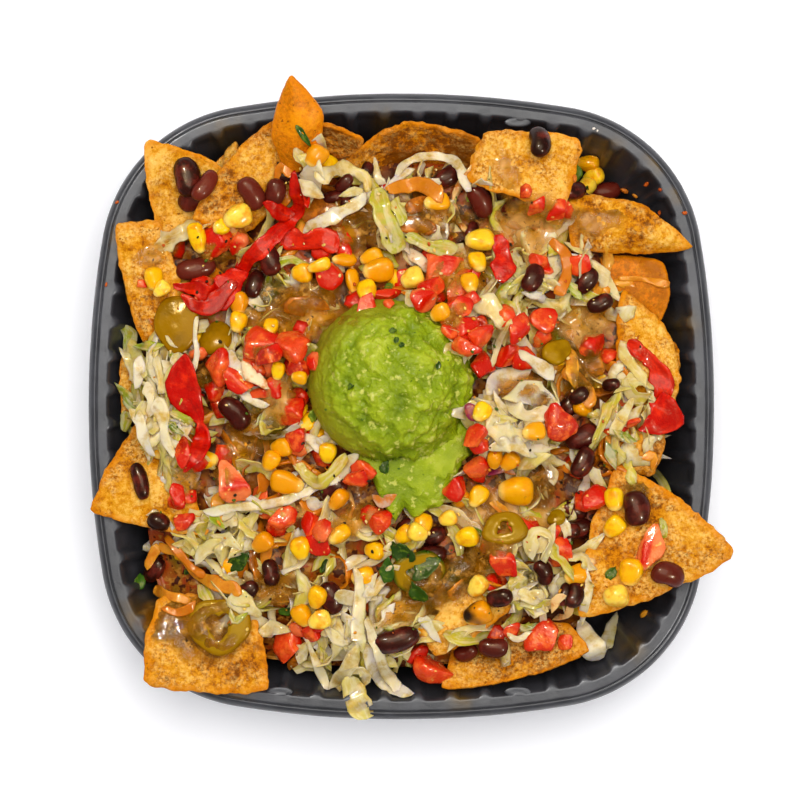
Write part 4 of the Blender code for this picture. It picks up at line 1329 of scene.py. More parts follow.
@dataclass
class Guacamole:
    """A ball scoop of mashed avocado with a torn flap trailing down its front."""

    mound: Mound
    centre: Place = (-4.5, 9.5)
    radius: float = 30.0
    height: float = 27.0
    flap_edge: tuple[Place, ...] = ((-18.5, -17), (-11, -26), (-5, -38), (-2, -41.5), (1, -37.5), (4, -41.5),
                                          (10, -38.5),
                                    (18, -29), (23.5, -19), (24.5, -4))
    flap_thickness: float = 4.5
    rows: int = 110
    columns: int = 330

    def reach(self, direction: np.ndarray) -> np.ndarray:
        """Distance from the middle to the edge: the radius, or the flap's edge where that is further, made ragged.

        Args:
            direction: angles in radians.

        Returns:
            Distances in mm.
        """
        knots = np.array(self.flap_edge) - self.centre
        angles, lengths = np.arctan2(knots[:, 1], knots[:, 0]), np.hypot(*knots.T)
        wrapped = (direction + math.pi) % FULL_TURN - math.pi
        flap = np.interp(wrapped, angles, lengths, self.radius, self.radius)
        torn = rough(circle(direction) * 30, 4.0, 3, 5)
        return np.maximum(flap, self.radius) + torn * np.where(flap > self.radius + 1, 1.8, 0.7)

    def clear_of(self, places: np.ndarray, margin: float) -> np.ndarray:
        """Whether each place in plan is at least the margin outside the scoop and its flap."""
        away = places - np.array(self.centre)
        return np.hypot(*away.T) > self.reach(np.arctan2(away[:, 1], away[:, 0])) + margin

    def skin(self) -> Skin:
        """The scoop's closed surface.

        At share s of the reach the ball stands height * sqrt(1 - (d / radius)^2)
        over the mound, and the flap its thickness, thinner towards its edge.
        Where they meet the two are blended. The surface is pushed along its
        own outward direction by lumps of mash, small chunks and fine pits, and
        by long streaks on the collar that the scoop's lip smeared.
        """
        direction = turns(self.columns)
        reach = self.reach(direction)
        s = 1 - (1 - np.linspace(0, 1, self.rows + 1)[1:]) ** 1.7
        away = reach[None, :] * s[:, None]
        x = self.centre[0] + away * np.cos(direction)
        y = self.centre[1] + away * np.sin(direction)
        plan = np.stack([x, y], axis=-1)
        ball_share = np.clip(1 - (away / self.radius) ** 2, 0, 1)
        ball = self.height * np.sqrt(ball_share)
        fade = np.clip((1 - s) / 0.10, 0, 1)[:, None] ** 0.5
        flap = self.flap_thickness * (0.30 + 0.70 * fade)
        soft = 1.8
        crease = np.exp(-(((ball - flap) / soft) ** 2))
        blended = np.logaddexp(ball / soft, flap / soft) * soft - 1.5 * soft * math.log(2) * crease
        base = self.mound.height(plan) + 0.6
        upper = raised_to(plan, base + blended)
        out = np.stack([x - self.centre[0], y - self.centre[1], np.maximum(blended * 0.9, 4.0)], axis=-1)
        out /= np.linalg.norm(out, axis=-1, keepdims=True)
        mash = 1.5 * rough(upper, 9.0, 2, 61) + 0.95 * rough(upper, 3.4, 2, 62)
        pits = 0.42 * rough(upper, 1.3, 2, 63)
        chunks = smoothstep(0.35, 0.75, noise(upper, 5.0, 64)) * 1.1
        collar = smoothstep(0.62, 0.92, away / self.radius) * smoothstep(-0.2, 0.5, -np.cos(direction + 0.2))
        collar = collar * (away < self.radius * 1.15)
        streaks = 0.55 * noise(np.stack([away / 2.2, direction * 6.0 + 0 * away, 0 * away], axis=-1), 1.0, 65)
        push = (mash + chunks + pits) * (1 - 0.75 * collar) + streaks * collar
        push = push * np.clip(0.35 + fade, 0, 1)
        upper = upper + out * push[..., None]
        under_s = np.linspace(1, 0.05, 10)[:, None]
        under_plan = np.stack([self.centre[0] + reach * under_s * np.cos(direction),
                               self.centre[1] + reach * under_s * np.sin(direction)], axis=-1)
        under = raised_to(under_plan, self.mound.height(under_plan) - 2.0)
        poles = [(*self.centre, ring[:, 2].mean()) for ring in (upper[0], under[-1])]
        skin = lump(np.concatenate([upper, under]), *poles)
        zero = np.zeros(under.shape[:2])
        # Painted shade: the tone falls in the crease under the ball and in the hollows of the mash, and rises on its
        # lumps.
        tone = 0.5 - 0.4 * crease + 0.45 * np.clip(mash / 1.6, -1, 1)
        skin.marks = {
            "tone": np.concatenate([tone.ravel(), (zero + 0.3).ravel(), [0.5, 0.3]]),
            "smear": np.concatenate([collar.ravel(), zero.ravel(), [0, 0]]),
        }
        return skin

    def build(self, relief: Relief) -> None:
        """Makes the scoop and adds it to the map.

        Args:
            relief: the map of heights.
        """
        skin = self.skin()
        relief.add(skin)
        Pile("mashed_avocado_scoop", skin).build(self.material(), "guacamole", "guacamole")

    @staticmethod
    def material() -> bpy.types.Material:
        """Fresh avocado green with painted shade in the hollows and the crease and lighter lumps, with cream chunks,
        herb flecks and an olive smear.
        """
        return Finish(
            "mashed_avocado",
            ((0.0, paint(98, 122, 0)), (0.45, paint(134, 154, 4)), (0.75, paint(154, 170, 18)),
             (1.0, paint(178, 188, 48))),
            mottle=paint(190, 192, 84), mottle_amount=0.2, mottle_size=3.0, mottle_soft=0.12,
            speck=paint(52, 92, 6), speck_amount=-0.22, speck_size=2.0,
            end_mark="smear", end_colour=paint(142, 142, 14),
            roughness=(0.4, 0.65), roughness_size=2.0, grain_mm=0.55, grain_size=1.3,
            subsurface=0.15, subsurface_mm=(1.5, 1.5, 0.2), coat=0.06, coat_roughness=0.25,
        ).material()


# --- Toppings ----------------------------------------------------------------


@dataclass(frozen=True)
class Spot:
    """Where one loose body lies: place, heading in degrees, length and width in mm, and its looks.

    layer is the turn in which it is placed, dome how far it swells upward in
    mm, char how burnt it is, fine its density of places, hole the radius of a
    slice's hole, tip its roll in degrees, and sink the share of its own
    height by which it presses into what lies under it.
    """

    x: float
    y: float
    heading: float
    length: float
    width: float
    tone: float | None = None
    layer: int = 1
    dome: float = 1.0
    char: float = 0.0
    fine: bool = True
    hole: float = 0.0
    tip: float | None = None
    sink: float = 0.25


@dataclass(frozen=True)
class Course:
    """How one long strip lies: the knots of its route in plan, x and y in turn, and its shape, in mm.

    roll turns it about its own length at the start and twist adds to that by
    the end, both in degrees; cup lifts both long edges, frill waves them, arch
    lifts the middle; blunt is the share of the width left at the ends, lobes
    is how much the width swells and narrows by chance, and widths are shares
    of the width at even steps from start to end.
    """

    knots: tuple[float, ...]
    width: float
    thick: float = 1.5
    tone: float | None = None
    layer: int = 1
    roll: float = 0.0
    twist: float = 0.0
    cup: float = 0.0
    frill: float = 0.45
    arch: float = 0.0
    blunt: float = 0.65
    lobes: float = 0.3
    widths: tuple[float, ...] = (1.0,)
    sink: float = 0.3
    step: float = 1.3
    columns: int = 10


@dataclass(frozen=True)
class Bed:
    """A patch of shreds: its middle and half-sizes in mm, how many, which way they mostly run, and their tones."""

    x: float
    y: float
    half_x: float
    half_y: float
    count: int
    heading: float
    spread: float = 40.0
    tones: Place = (0.0, 0.72)
    layer: int = 0
    length: Place = (10.0, 30.0)
    width: Place = (2.5, 6.0)


def rounded(values: np.ndarray, power: float) -> np.ndarray:
    """Signed power: the share's size raised to the power, with its sign kept."""
    return np.sign(values) * np.abs(values) ** power


@dataclass
class Topping:
    """One kind of topping: its pile, and how its bodies come to rest on the map."""

    relief: Relief
    seed: int
    name: str = "topping"
    slot: str = "small_toppings"
    steepest: float = 0.7

    def __post_init__(self) -> None:
        """Starts an empty pile and the kind's own random numbers."""
        self.pile = Pile(self.name)
        self.chance = np.random.default_rng(self.seed)

    def tone(self, tone: float | None) -> float:
        """The tone asked for, or a random one."""
        return float(self.chance.random()) if tone is None else tone

    def rest(self, skin: Skin, spot: Spot, roll_spread: float, /, **marks: np.ndarray) -> None:
        """Marks a body, turns it to the slope under it, lets it down there and adds it to the pile.

        Args:
            skin: the body, with its length along X and its middle at the origin.
            spot: where it lies.
            roll_spread: how far it is rolled by chance about its own length, in degrees.
            marks: the kind's own marks, beside its tone.
        """
        skin.marks = {"tone": np.full(len(skin.points), self.tone(spot.tone)), **marks}
        reach = max(2.0, float(np.abs(skin.points).max()) * 0.8)
        roll = float(self.chance.normal(0, roll_spread)) if spot.tip is None else spot.tip
        normal = self.relief.normal(spot.x, spot.y, reach, self.steepest)
        skin.points = skin.points @ tilted(spot.heading, normal, roll)
        skin.points[:, :2] += (spot.x, spot.y)
        let_down(self.relief, skin, 1.0 - spot.sink)
        self.pile.add(skin)

    def finish(self, material: bpy.types.Material, *nodes: str) -> None:
        """Keeps the pile inside the wall, joins and dresses it, and lets it stand for its CAD nodes.

        Args:
            material: the kind's finish.
            nodes: the CAD nodes that the pile stands for.
        """
        tray = Tray()
        for skin in self.pile.skins:
            skin.points[:, 2] = np.maximum(skin.points[:, 2], tray.wall_z(skin.points))
        self.pile.build(material, self.slot, *nodes)


@dataclass
class Beans(Topping):
    """Black beans: ovals bent like a kidney, dented at the eye, some wrinkled."""

    name: str = "black_beans"
    slot: str = "black_bean"

    def put(self, spot: Spot) -> None:
        """Adds a bean.

        At angle t from end to end the bean's half-width is sin(t)^0.7 of its
        own, its middle line moves sideways with cos(t)^2, and a dent lies at
        the middle of its hollow side.

        Args:
            spot: where it lies and how it looks.
        """
        rows, columns = (14, 18) if spot.fine else (6, 8)
        length, width = spot.length, spot.width
        angle = ((np.arange(rows) + 0.5) / rows * math.pi)[:, None]
        turn = turns(columns)[None, :]
        fat = np.sin(angle) ** 0.7
        bend = float(self.chance.uniform(0.0, 0.07)) * length
        dent = float(self.chance.uniform(0.02, 0.14)) * width * np.exp(-((np.cos(angle) / 0.35) ** 2))
        dent = dent * np.clip(np.cos(turn), 0, 1) ** 2
        rings = np.stack([
            -np.cos(angle) * length / 2 + 0 * turn,
            np.cos(turn) * fat * width / 2 + bend * (np.cos(angle) ** 2 - 0.35) - dent,
            np.sin(turn) * fat * width * 0.43,
        ], axis=-1)
        key = self.chance.random(3) * 500
        rings[..., 2] += 0.03 * width * rough(rings + key, 4.0, 2, 3)
        rings[..., 1] += 0.03 * width * rough(rings + key, 5.0, 2, 4)
        ends = ((side * length / 2, bend * 0.65, 0) for side in (-1, 1))
        self.rest(lump(rings, *ends), spot, 14)


@dataclass
class Corn(Topping):
    """Corn kernels: blunt and dimpled at the crown, narrow and pale at the tip."""

    name: str = "sweet_corn"
    slot: str = "sweet_corn"

    def put(self, spot: Spot) -> None:
        """Adds a kernel.

        From tip to crown its width grows as a smooth step, then closes over a
        blunt crown; each cross-section is a rounded box, and both broad sides
        are a little hollow.

        Args:
            spot: where it lies and how it looks.
        """
        rows, columns = (13, 20) if spot.fine else (6, 8)
        length, width = spot.length, spot.width
        share = ((np.arange(rows) + 0.5) / rows)[:, None]
        turn = turns(columns)[None, :]
        grow = 0.58 + 0.42 * smoothstep(0.0, 0.55, share)
        close = np.sqrt(np.clip(1 - ((share - 0.62) / 0.38).clip(0, 1) ** 3.2, 0, 1))
        start = np.sqrt(np.clip(1 - ((0.16 - share) / 0.16).clip(0, 1) ** 2, 0, 1))
        fat = grow * close * start
        hollow = 1 - 0.10 * np.abs(np.sin(turn)) ** 3 * smoothstep(0.2, 0.6, share)
        rings = np.stack([
            (share - 0.5) * length + 0 * turn,
            rounded(np.cos(turn), 0.75) * fat * width / 2,
            rounded(np.sin(turn), 0.8) * fat * width * 0.42 * hollow,
        ], axis=-1)
        key = self.chance.random(3) * 500
        rings = rings + 0.035 * width * rough(rings + key, 5.0, 2, 3)[..., None] * np.array([0.4, 1, 1])
        rings[..., 1] += 0.05 * float(self.chance.normal()) * rings[..., 0]
        skin = lump(rings, (-length / 2, 0, 0), (length * 0.475, 0, 0))
        tip = np.concatenate([(1 - smoothstep(0.0, 0.22, share) + 0 * turn).ravel(), [1, 0]])
        burnt = spot.char * smoothstep(0.46, 0.62, noise(skin.points + key, 5.0, 8) * 0.5 + 0.56)
        self.rest(skin, spot, 22, tip=tip, char=burnt)


@dataclass
class Dice(Topping):
    """Tomato dice: cut blocks with soft edges, skin on one side and wet flesh on the rest."""

    name: str = "diced_tomato"
    slot: str = "tomato"

    def put(self, spot: Spot) -> None:
        """Adds a block.

        It starts as a ball and each direction is drawn out to a rounded box;
        the box is leaned, sliced flat by a few random cuts, and bitten into by
        soft lumps as cut flesh is.

        Args:
            spot: where it lies and how it looks.
        """
        length, width = spot.length, spot.width
        way = ball(*((16, 24) if spot.fine else (7, 8)), math.pi / 8)
        power = float(self.chance.uniform(3.2, 5.0))
        box = way / ((np.abs(way) ** power).sum(axis=-1, keepdims=True) ** (1 / power))
        height = min(length, width) * float(self.chance.uniform(0.45, 0.7))
        lean = self.chance.normal(0, 0.3, 3)
        half = np.array([length, width, height]) * 0.58
        rings = box * half
        rings[..., 0] += lean[0] * rings[..., 2] + lean[2] * rings[..., 1]
        rings[..., 1] += lean[1] * rings[..., 2]
        for cut, depth in zip(self.chance.normal(0, 1, (5, 3)), self.chance.uniform(0.45, 0.8, 5)):
            cut /= np.linalg.norm(cut)
            past = np.clip(rings @ cut - depth * np.linalg.norm(cut * half), 0, None)
            rings = rings - 0.9 * past[..., None] * cut
        key = self.chance.random(3) * 500
        rings = rings * (1 + 0.10 * rough(rings + key, 4.0, 2, 6) + 0.04 * noise(rings + key, 1.6, 9))[..., None]
        skin = lump(rings)
        side = skin.points[:, 2] / height if self.chance.random() < 0.45 else skin.points[:, 0] / length
        self.rest(skin, spot, 16, skin=smoothstep(0.28, 0.40, side))


@dataclass
class Strips(Topping):
    """Long cut pieces that follow a route and drape over what they cross."""

    thinner: float = 1.0
    smoothing: float = 2.2

    def lay(self, course: Course) -> None:
        """Adds a strip along its course.

        Its middle line follows the highest ground across it, made smooth. Each
        cross-section is a flat box with rounded edges, cupped by a parabola,
        rolled by an angle that grows along the strip, frilled by a wave that
        is strongest at its two long edges, and cut off slantwise at its ends.

        Args:
            course: its route and its shape.
        """
        width, thick, columns = course.width, course.thick * self.thinner, course.columns
        knots = np.reshape(course.knots, (-1, 2)).astype(float)
        length = np.linalg.norm(np.diff(knots, axis=0), axis=1).sum()
        rows = max(5, int(length / course.step))
        key = self.chance.random(3) * 500
        middle = along_curve(knots, rows)
        share = np.linspace(0, 1, rows)
        ahead = np.gradient(middle, axis=0)
        ahead /= np.linalg.norm(ahead, axis=1)[:, None]
        side = np.stack([-ahead[:, 1], ahead[:, 0]], axis=1)
        ends = np.clip(np.minimum(share, 1 - share) * length / (width * 0.55), 0, 1)
        place3 = np.column_stack([middle, np.zeros(rows)]) + key
        swell = 1 + course.lobes * noise(place3, 4.5, 2) + 0.15 * noise(place3, 2.5, 5)
        half = width / 2 * (course.blunt + (1 - course.blunt) * np.sqrt(1 - (1 - ends) ** 2)) * swell
        half = half * np.interp(share, np.linspace(0, 1, len(course.widths)), course.widths)
        half = half * (1 + float(self.chance.uniform(-0.35, 0.35)) * (2 * share - 1))
        angle = np.radians(course.roll + course.twist * share) + 0.25 * noise(place3, 9.0, 3)
        spread = np.linspace(-0.8, 0.8, 5)[None, :, None] * (half * np.abs(np.cos(angle)))[:, None, None]
        ground = self.relief.at(middle[:, None] + side[:, None] * spread)
        high = np.quantile(ground, 0.8, axis=1)
        reach = max(1, int(round(self.smoothing / course.step)))
        padded = np.pad(high, reach, mode="edge")
        windows = np.lib.stride_tricks.sliding_window_view(padded, 2 * reach + 1)
        high = 0.5 * windows.max(axis=1) + 0.5 * windows.mean(axis=1)
        kernel = np.hanning(2 * reach + 3)
        high = np.convolve(np.pad(high, reach + 1, mode="edge"), kernel / kernel.sum(), "valid")
        level = high + thick * (0.5 - course.sink) + 0.45 * half * np.abs(np.sin(angle))
        level = level + course.arch * np.sin(math.pi * share)
        turn = turns(columns)
        across = rounded(np.cos(turn), 0.4)[None, :] * half[:, None]
        over = rounded(np.sin(turn), 0.45)[None, :] * thick / 2 * (0.55 + 0.45 * ends)[:, None]
        across_share = across / half[:, None]
        outline = np.stack([share[:, None] * length + 0 * across, 40 * np.sign(across), 0 * across], axis=-1) + key
        across = across * (1 + 1.1 * course.lobes * noise(outline, 3.4, 6))
        wave = course.frill * np.sin(share * length / 1.9 + key[0])[:, None] * across_share
        along = share[:, None] * length + 0 * across
        wave = wave + 1.7 * course.frill * noise(np.stack([along, across, 0 * across], axis=-1) + key, 2.4, 7)
        over = over + course.cup * across_share**2 + wave
        flat = across * np.cos(angle)[:, None] - over * np.sin(angle)[:, None]
        up = across * np.sin(angle)[:, None] + over * np.cos(angle)[:, None]
        slant = (1 - ends)[:, None] * across * float(self.chance.normal(0, 0.9))
        plan = middle[:, None] + side[:, None] * flat[..., None] + ahead[:, None] * slant[..., None]
        poles = (np.append(middle[i] + ahead[i] * sign * 0.25 * half[i], level[i]) for i, sign in ((0, -1), (-1, 1)))
        skin = lump(raised_to(plan, level[:, None] + up), *poles)
        streak = float(self.chance.random()) * np.clip(0.5 + noise(place3, 8.0, 4), 0, 1)[:, None]
        base = np.clip(self.tone(course.tone) + 0.10 * noise(place3, 12.0, 9), 0, 1)
        skin.marks = {
            "tone": np.concatenate([np.repeat(base, columns), base[[0, -1]]]),
            "leafy": np.concatenate([(smoothstep(-0.2, 1.0, across_share) * 0.6 * streak).ravel(), [0, 0]]),
            "across": np.concatenate([across_share.ravel(), [0, 0]]),
            "along": np.concatenate([along.ravel(), [0, length]]),
        }
        self.relief.add(skin)
        self.pile.add(skin)


@dataclass
class Slices(Topping):
    """Pickled pepper slices: rounds with a glossy skin rim, wet flesh and a seed hole."""

    name: str = "pickled_jalapeno"
    slot: str = "jalapeno"
    columns: int = 48
    thick: float = 3.0

    def put(self, spot: Spot) -> None:
        """Adds a slice.

        A ring of flesh round a hole: the cross-section is a rounded bar from
        the hole to the rim, the outline an uneven round, and the whole lifted
        in the middle by the dome. Without a hole it is a closed cap.

        Args:
            spot: where it lies and how it looks.
        """
        hole, turn = spot.hole, turns(self.columns)
        round_plan = circle(turn)[:, :2]
        key = float(self.chance.random() * 100)
        uneven = 1 + 0.05 * np.cos(3 * turn + key) + 0.03 * np.sin(5 * turn + 2 * key)
        rim = round_plan * (spot.length, spot.width) / 2 * uneven[:, None]
        lobed = hole * (1 + 0.22 * np.cos(3 * turn + key) + 0.08 * np.sin(7 * turn))
        inner = round_plan * lobed[:, None]
        bar = np.array([0.05, 0.2, 0.45, 0.7, 0.88, 0.97, 1.0, 0.97, 0.88, 0.7, 0.45, 0.2, 0.05])
        side = np.array([0.42, 0.5, 0.46, 0.46, 0.5, 0.36, 0.0, -0.36, -0.5, -0.5, -0.5, -0.5, -0.42])
        if hole > 0:
            bar, side = np.append(bar, 0.0), np.append(side, 0.0)
        plan = inner + (rim - inner) * bar[:, None, None]
        away = np.linalg.norm(plan, axis=-1) / np.linalg.norm(rim, axis=-1)
        z = side[:, None] * self.thick + spot.dome * (1 - away**2)
        rings = raised_to(plan, z + 0.25 * rough(raised_to(plan, z) + key, 5.0, 2, 4))
        if hole > 0:
            column = np.arange(self.columns)
            after, last = (column + 1) % self.columns, (len(bar) - 1) * self.columns
            seam = np.stack([last + column, last + after, after, column], axis=1)
            quads = np.vstack([grid_quads(len(bar), self.columns, True), seam])
            skin = turned_out(Skin(rings.reshape(-1, 3), quads, np.zeros((0, 3), int)))
            flesh = np.repeat(1 - smoothstep(0.80, 0.92, bar), self.columns)
        else:
            skin = lump(rings)
            flesh = np.zeros(len(skin.points))
        self.rest(skin, spot, 0, flesh=flesh)


@dataclass
class Leaves(Topping):
    """Small herb leaves: cupped, wrinkled and torn at the edge."""

    name: str = "herb_leaves"
    thick: float = 0.5
    ragged: float = 0.25

    def put(self, spot: Spot) -> None:
        """Adds a leaf: a thin cushion, cupped by its dome, whose outline is a pointed oval made ragged by noise.

        Args:
            spot: where it lies and how it looks.
        """
        turn = turns(26 if spot.fine else 12)
        key = self.chance.random(3) * 500
        far = 1 + self.ragged * rough(circle(turn) * 3 + key, 1.3, 2, 4)
        share = np.array([0.35, 0.75, 1.0, 1.03, 1.0, 0.75, 0.35])[:, None]
        side = np.array([1.0, 1.0, 0.7, 0.0, -0.7, -1.0, -1.0])[:, None]
        x_in = np.cos(turn) * far * spot.length / 2 * share
        y_in = np.sin(turn) * far * spot.width / 2 * share * (1 - 0.25 * np.cos(turn))
        wrinkle = 0.6 * rough(np.stack([x_in, y_in, 0 * x_in], axis=-1) + key, 3.0, 2, 6)
        z = side * self.thick / 2 + spot.dome * share**2 * np.sin(turn) ** 2 + wrinkle
        self.rest(lump(np.stack([x_in, y_in, z], axis=-1), (0, 0, self.thick / 2), (0, 0, -self.thick / 2)), spot, 12)


@dataclass
class Crumbs(Topping):
    """Loose grains: dust, seeds, chip crumbs, red flakes, herb flecks and charred bits, in that order of tone."""

    name: str = "loose_crumbs"

    def put(self, spot: Spot) -> None:
        """Adds a grain: a small ball drawn out to its length and width and made lumpy.

        Args:
            spot: where it lies and how it looks.
        """
        rings = ball(4, 7) * np.array([spot.length, spot.width, 0.7 * spot.width]) / 2
        rings = rings * (1 + 0.4 * noise(rings + self.chance.random(3) * 500, 0.8, 3))[..., None]
        self.rest(lump(rings), spot, 0)


@dataclass
class Sauce(Topping):
    """Thin sauce: pools that fill the hollows between toppings and leave their tops bare."""

    name: str = "brown_sauce"
    rows: int = 17
    columns: int = 52
    soft_reach: float = 2.6
    near_reach: float = 0.9

    def pour(self, spot: Spot) -> None:
        """Adds a pool.

        Its outline is an oval made ragged by noise. Its top is the blurred
        ground plus a depth that falls to nothing at the edge, where it dips
        under the ground, and its underside runs a little below.

        Args:
            spot: where it lies; its dome is the depth.
        """
        turn = turns(self.columns)
        key = self.chance.random(3) * 500
        far = 1.1 + 0.30 * rough(circle(turn) * 2 + key, 1.1, 3, 4)
        share = np.linspace(0.04, 1, self.rows)[:, None]
        angle = math.radians(spot.heading)
        along = np.cos(turn) * far * spot.length / 2 * share
        across = np.sin(turn) * far * spot.width / 2 * share
        plan = np.stack([spot.x + along * math.cos(angle) - across * math.sin(angle),
                         spot.y + along * math.sin(angle) + across * math.cos(angle)], axis=-1)
        soft, near = self.soft[self.relief.index(plan)], self.near[self.relief.index(plan)]
        body = 0.6 * rough(raised_to(plan, 0 * plan[..., 0]) + key, 6.0, 2, 8)
        top = 0.45 * soft + 0.55 * near + (spot.dome + body) * (1 - share**3) - 1.6 * share**8
        skin = lump(np.concatenate([raised_to(plan, top), raised_to(plan, top - 1.4 * (1.05 - share**6))[::-1]]))
        patchy = np.clip(0.75 + 0.6 * rough(skin.points + key, 3.0, 2, 14), 0.35, 1)
        faded = np.tile(1 - smoothstep(0.35, 0.95, share) + 0 * turn, (2, 1))
        faded[self.rows:] = faded[:self.rows][::-1]
        skin.marks = {"tone": np.clip(self.tone(spot.tone) + 0.25 * rough(skin.points + key, 5.0, 2, 15), 0, 1),
                      "depth": patchy * np.append(faded.ravel(), [1, 1])}
        self.relief.add(skin)
        self.pile.add(skin)

    def settle(self) -> None:
        """Takes two soft copies of the map as it is now, which the next pools follow."""
        self.soft, self.near = self.relief.blurred(self.soft_reach), self.relief.blurred(self.near_reach)


# --- The heap, laid out from the bottom up -----------------------------------


BEAN_FINISH = Finish(
    "bean_skin", ((0.0, paint(32, 5, 3)), (0.5, paint(64, 12, 8)), (1.0, paint(112, 36, 22))),
    mottle=paint(100, 30, 20), mottle_amount=0.3, mottle_size=5.0, mottle_soft=0.35,
    roughness=(0.24, 0.42), roughness_size=4.0, grain_mm=0.08,
    grain_size=1.5, coat=0.1, coat_roughness=0.1, specular=0.15,
)
CORN_FINISH = Finish(
    "corn_skin", ((0.0, paint(228, 140, 0)), (0.4, paint(248, 182, 0)), (0.8, paint(255, 202, 8)),
                  (1.0, paint(250, 210, 80))),
    mottle=paint(236, 150, 0), mottle_amount=0.3, mottle_size=4.0, mottle_soft=0.35, end_mark="tip",
    end_colour=paint(252, 216, 110), roughness=(0.26, 0.45), grain_mm=0.05, grain_size=1.4, coat=0.12,
    coat_roughness=0.15,
    subsurface=0.2, subsurface_mm=(1.6, 1.0, 0.1), burn=paint(30, 12, 4),
)
TOMATO_FINISH = Finish(
    "tomato_flesh", ((0.0, paint(158, 14, 2)), (0.35, paint(208, 40, 12)), (0.65, paint(228, 66, 20)),
                     (1.0, paint(242, 126, 68))),
    mottle=paint(240, 104, 36), mottle_amount=0.34, mottle_size=4.0, mottle_soft=0.3, speck=paint(240, 186, 90),
    speck_amount=-0.12, speck_size=2.6, end_mark="skin", end_colour=paint(206, 22, 2), roughness=(0.16, 0.36),
    roughness_size=3.0, grain_mm=0.3, grain_size=1.6, coat=0.2, coat_roughness=0.08, subsurface=0.12,
    subsurface_mm=(2.0, 0.6, 0.3),
)
PEPPER_FINISH = Finish(
    "pepper_skin", ((0.0, paint(96, 2, 0)), (0.5, paint(196, 8, 0)), (1.0, paint(232, 56, 4))),
    mottle=paint(232, 40, 4), mottle_amount=0.25, mottle_size=5.0, mottle_soft=0.35,
    roughness=(0.2, 0.4), grain_mm=0.3, grain_size=2.0,
    specular=0.12, coat=0.16, coat_roughness=0.06, streak=paint(140, 2, 0), streak_amount=0.5,
)
ONION_FINISH = Finish(
    "cooked_onion", ((0.0, paint(112, 54, 4)), (0.35, paint(206, 112, 8)), (0.6, paint(228, 158, 40)),
                     (0.85, paint(238, 212, 166)), (1.0, paint(140, 30, 70))),
    mottle=paint(204, 114, 16), mottle_amount=0.3, mottle_size=4.0, mottle_soft=0.3, roughness=(0.2, 0.4),
    grain_mm=0.12, grain_size=1.6, coat=0.2, coat_roughness=0.1, subsurface=0.25, subsurface_mm=(2.0, 1.2, 0.5),
)
LETTUCE_FINISH = Finish(
    "lettuce", ((0.0, paint(252, 230, 200)), (0.3, paint(242, 210, 138)), (0.6, paint(212, 188, 48)),
                (0.8, paint(150, 164, 12)), (1.0, paint(40, 78, 6))),
    mottle=paint(216, 170, 74), mottle_amount=0.3, mottle_size=6.0, mottle_soft=0.35,
    streak=paint(252, 232, 198), streak_amount=0.4, alpha=0.88, end_mark="leafy", end_colour=paint(178, 174, 40),
    roughness=(0.28, 0.5), roughness_size=4.0, grain_mm=0.14, grain_size=1.8, coat=0.12, coat_roughness=0.1,
    specular=0.15, subsurface=0.55, subsurface_mm=(3.0, 2.5, 0.8),
)
SLICE_FINISH = Finish(
    "jalapeno_slice", ((0.0, paint(140, 96, 0)), (0.3, paint(158, 110, 0)), (0.6, paint(166, 134, 10)),
                       (1.0, paint(44, 74, 8))), mottle=paint(128, 88, 0), mottle_amount=0.3,
    mottle_size=9.0, mottle_soft=0.4, end_mark="flesh", end_colour=paint(156, 116, 10),
    roughness=(0.14, 0.3), grain_mm=0.12, grain_size=2.0, coat=0.03, coat_roughness=0.1, subsurface=0.15,
    subsurface_mm=(2.0, 1.5, 0.2), specular=0.12, sheen_tint=(1.0, 0.7, 0.2),
)
LEAF_FINISH = Finish(
    "herb_leaf", ((0.0, paint(20, 46, 6)), (0.4, paint(48, 90, 14)), (1.0, paint(160, 176, 40))),
    mottle=paint(80, 106, 16), mottle_amount=0.3, mottle_size=2.5,
    roughness=(0.3, 0.55), grain_mm=0.15, grain_size=1.0, coat=0.08,
)
SAUCE_FINISH = Finish(
    "brown_sauce", ((0.0, paint(88, 72, 4)), (0.3, paint(122, 72, 2)), (0.6, paint(174, 108, 8)),
                    (0.85, paint(206, 140, 30)), (1.0, paint(216, 160, 78))),
    mottle=paint(222, 160, 68), mottle_amount=0.2, mottle_size=3.5, mottle_soft=0.3, speck=paint(50, 26, 6),
    speck_amount=0.0, speck_size=1.4, roughness=(0.1, 0.22), specular=0.12, grain_mm=0.35, grain_size=2.2,
    coat=0.32, coat_roughness=0.03, alpha=0.82, fade_mark="depth",
)
CRUMB_FINISH = Finish(
    "crumbs", ((0.0, paint(236, 226, 214)), (0.25, paint(232, 196, 96)), (0.45, paint(214, 140, 30)),
               (0.65, paint(178, 42, 14)), (0.85, paint(60, 92, 12)), (1.0, paint(26, 14, 6))),
    roughness=(0.3, 0.6), grain_mm=0.0,
)


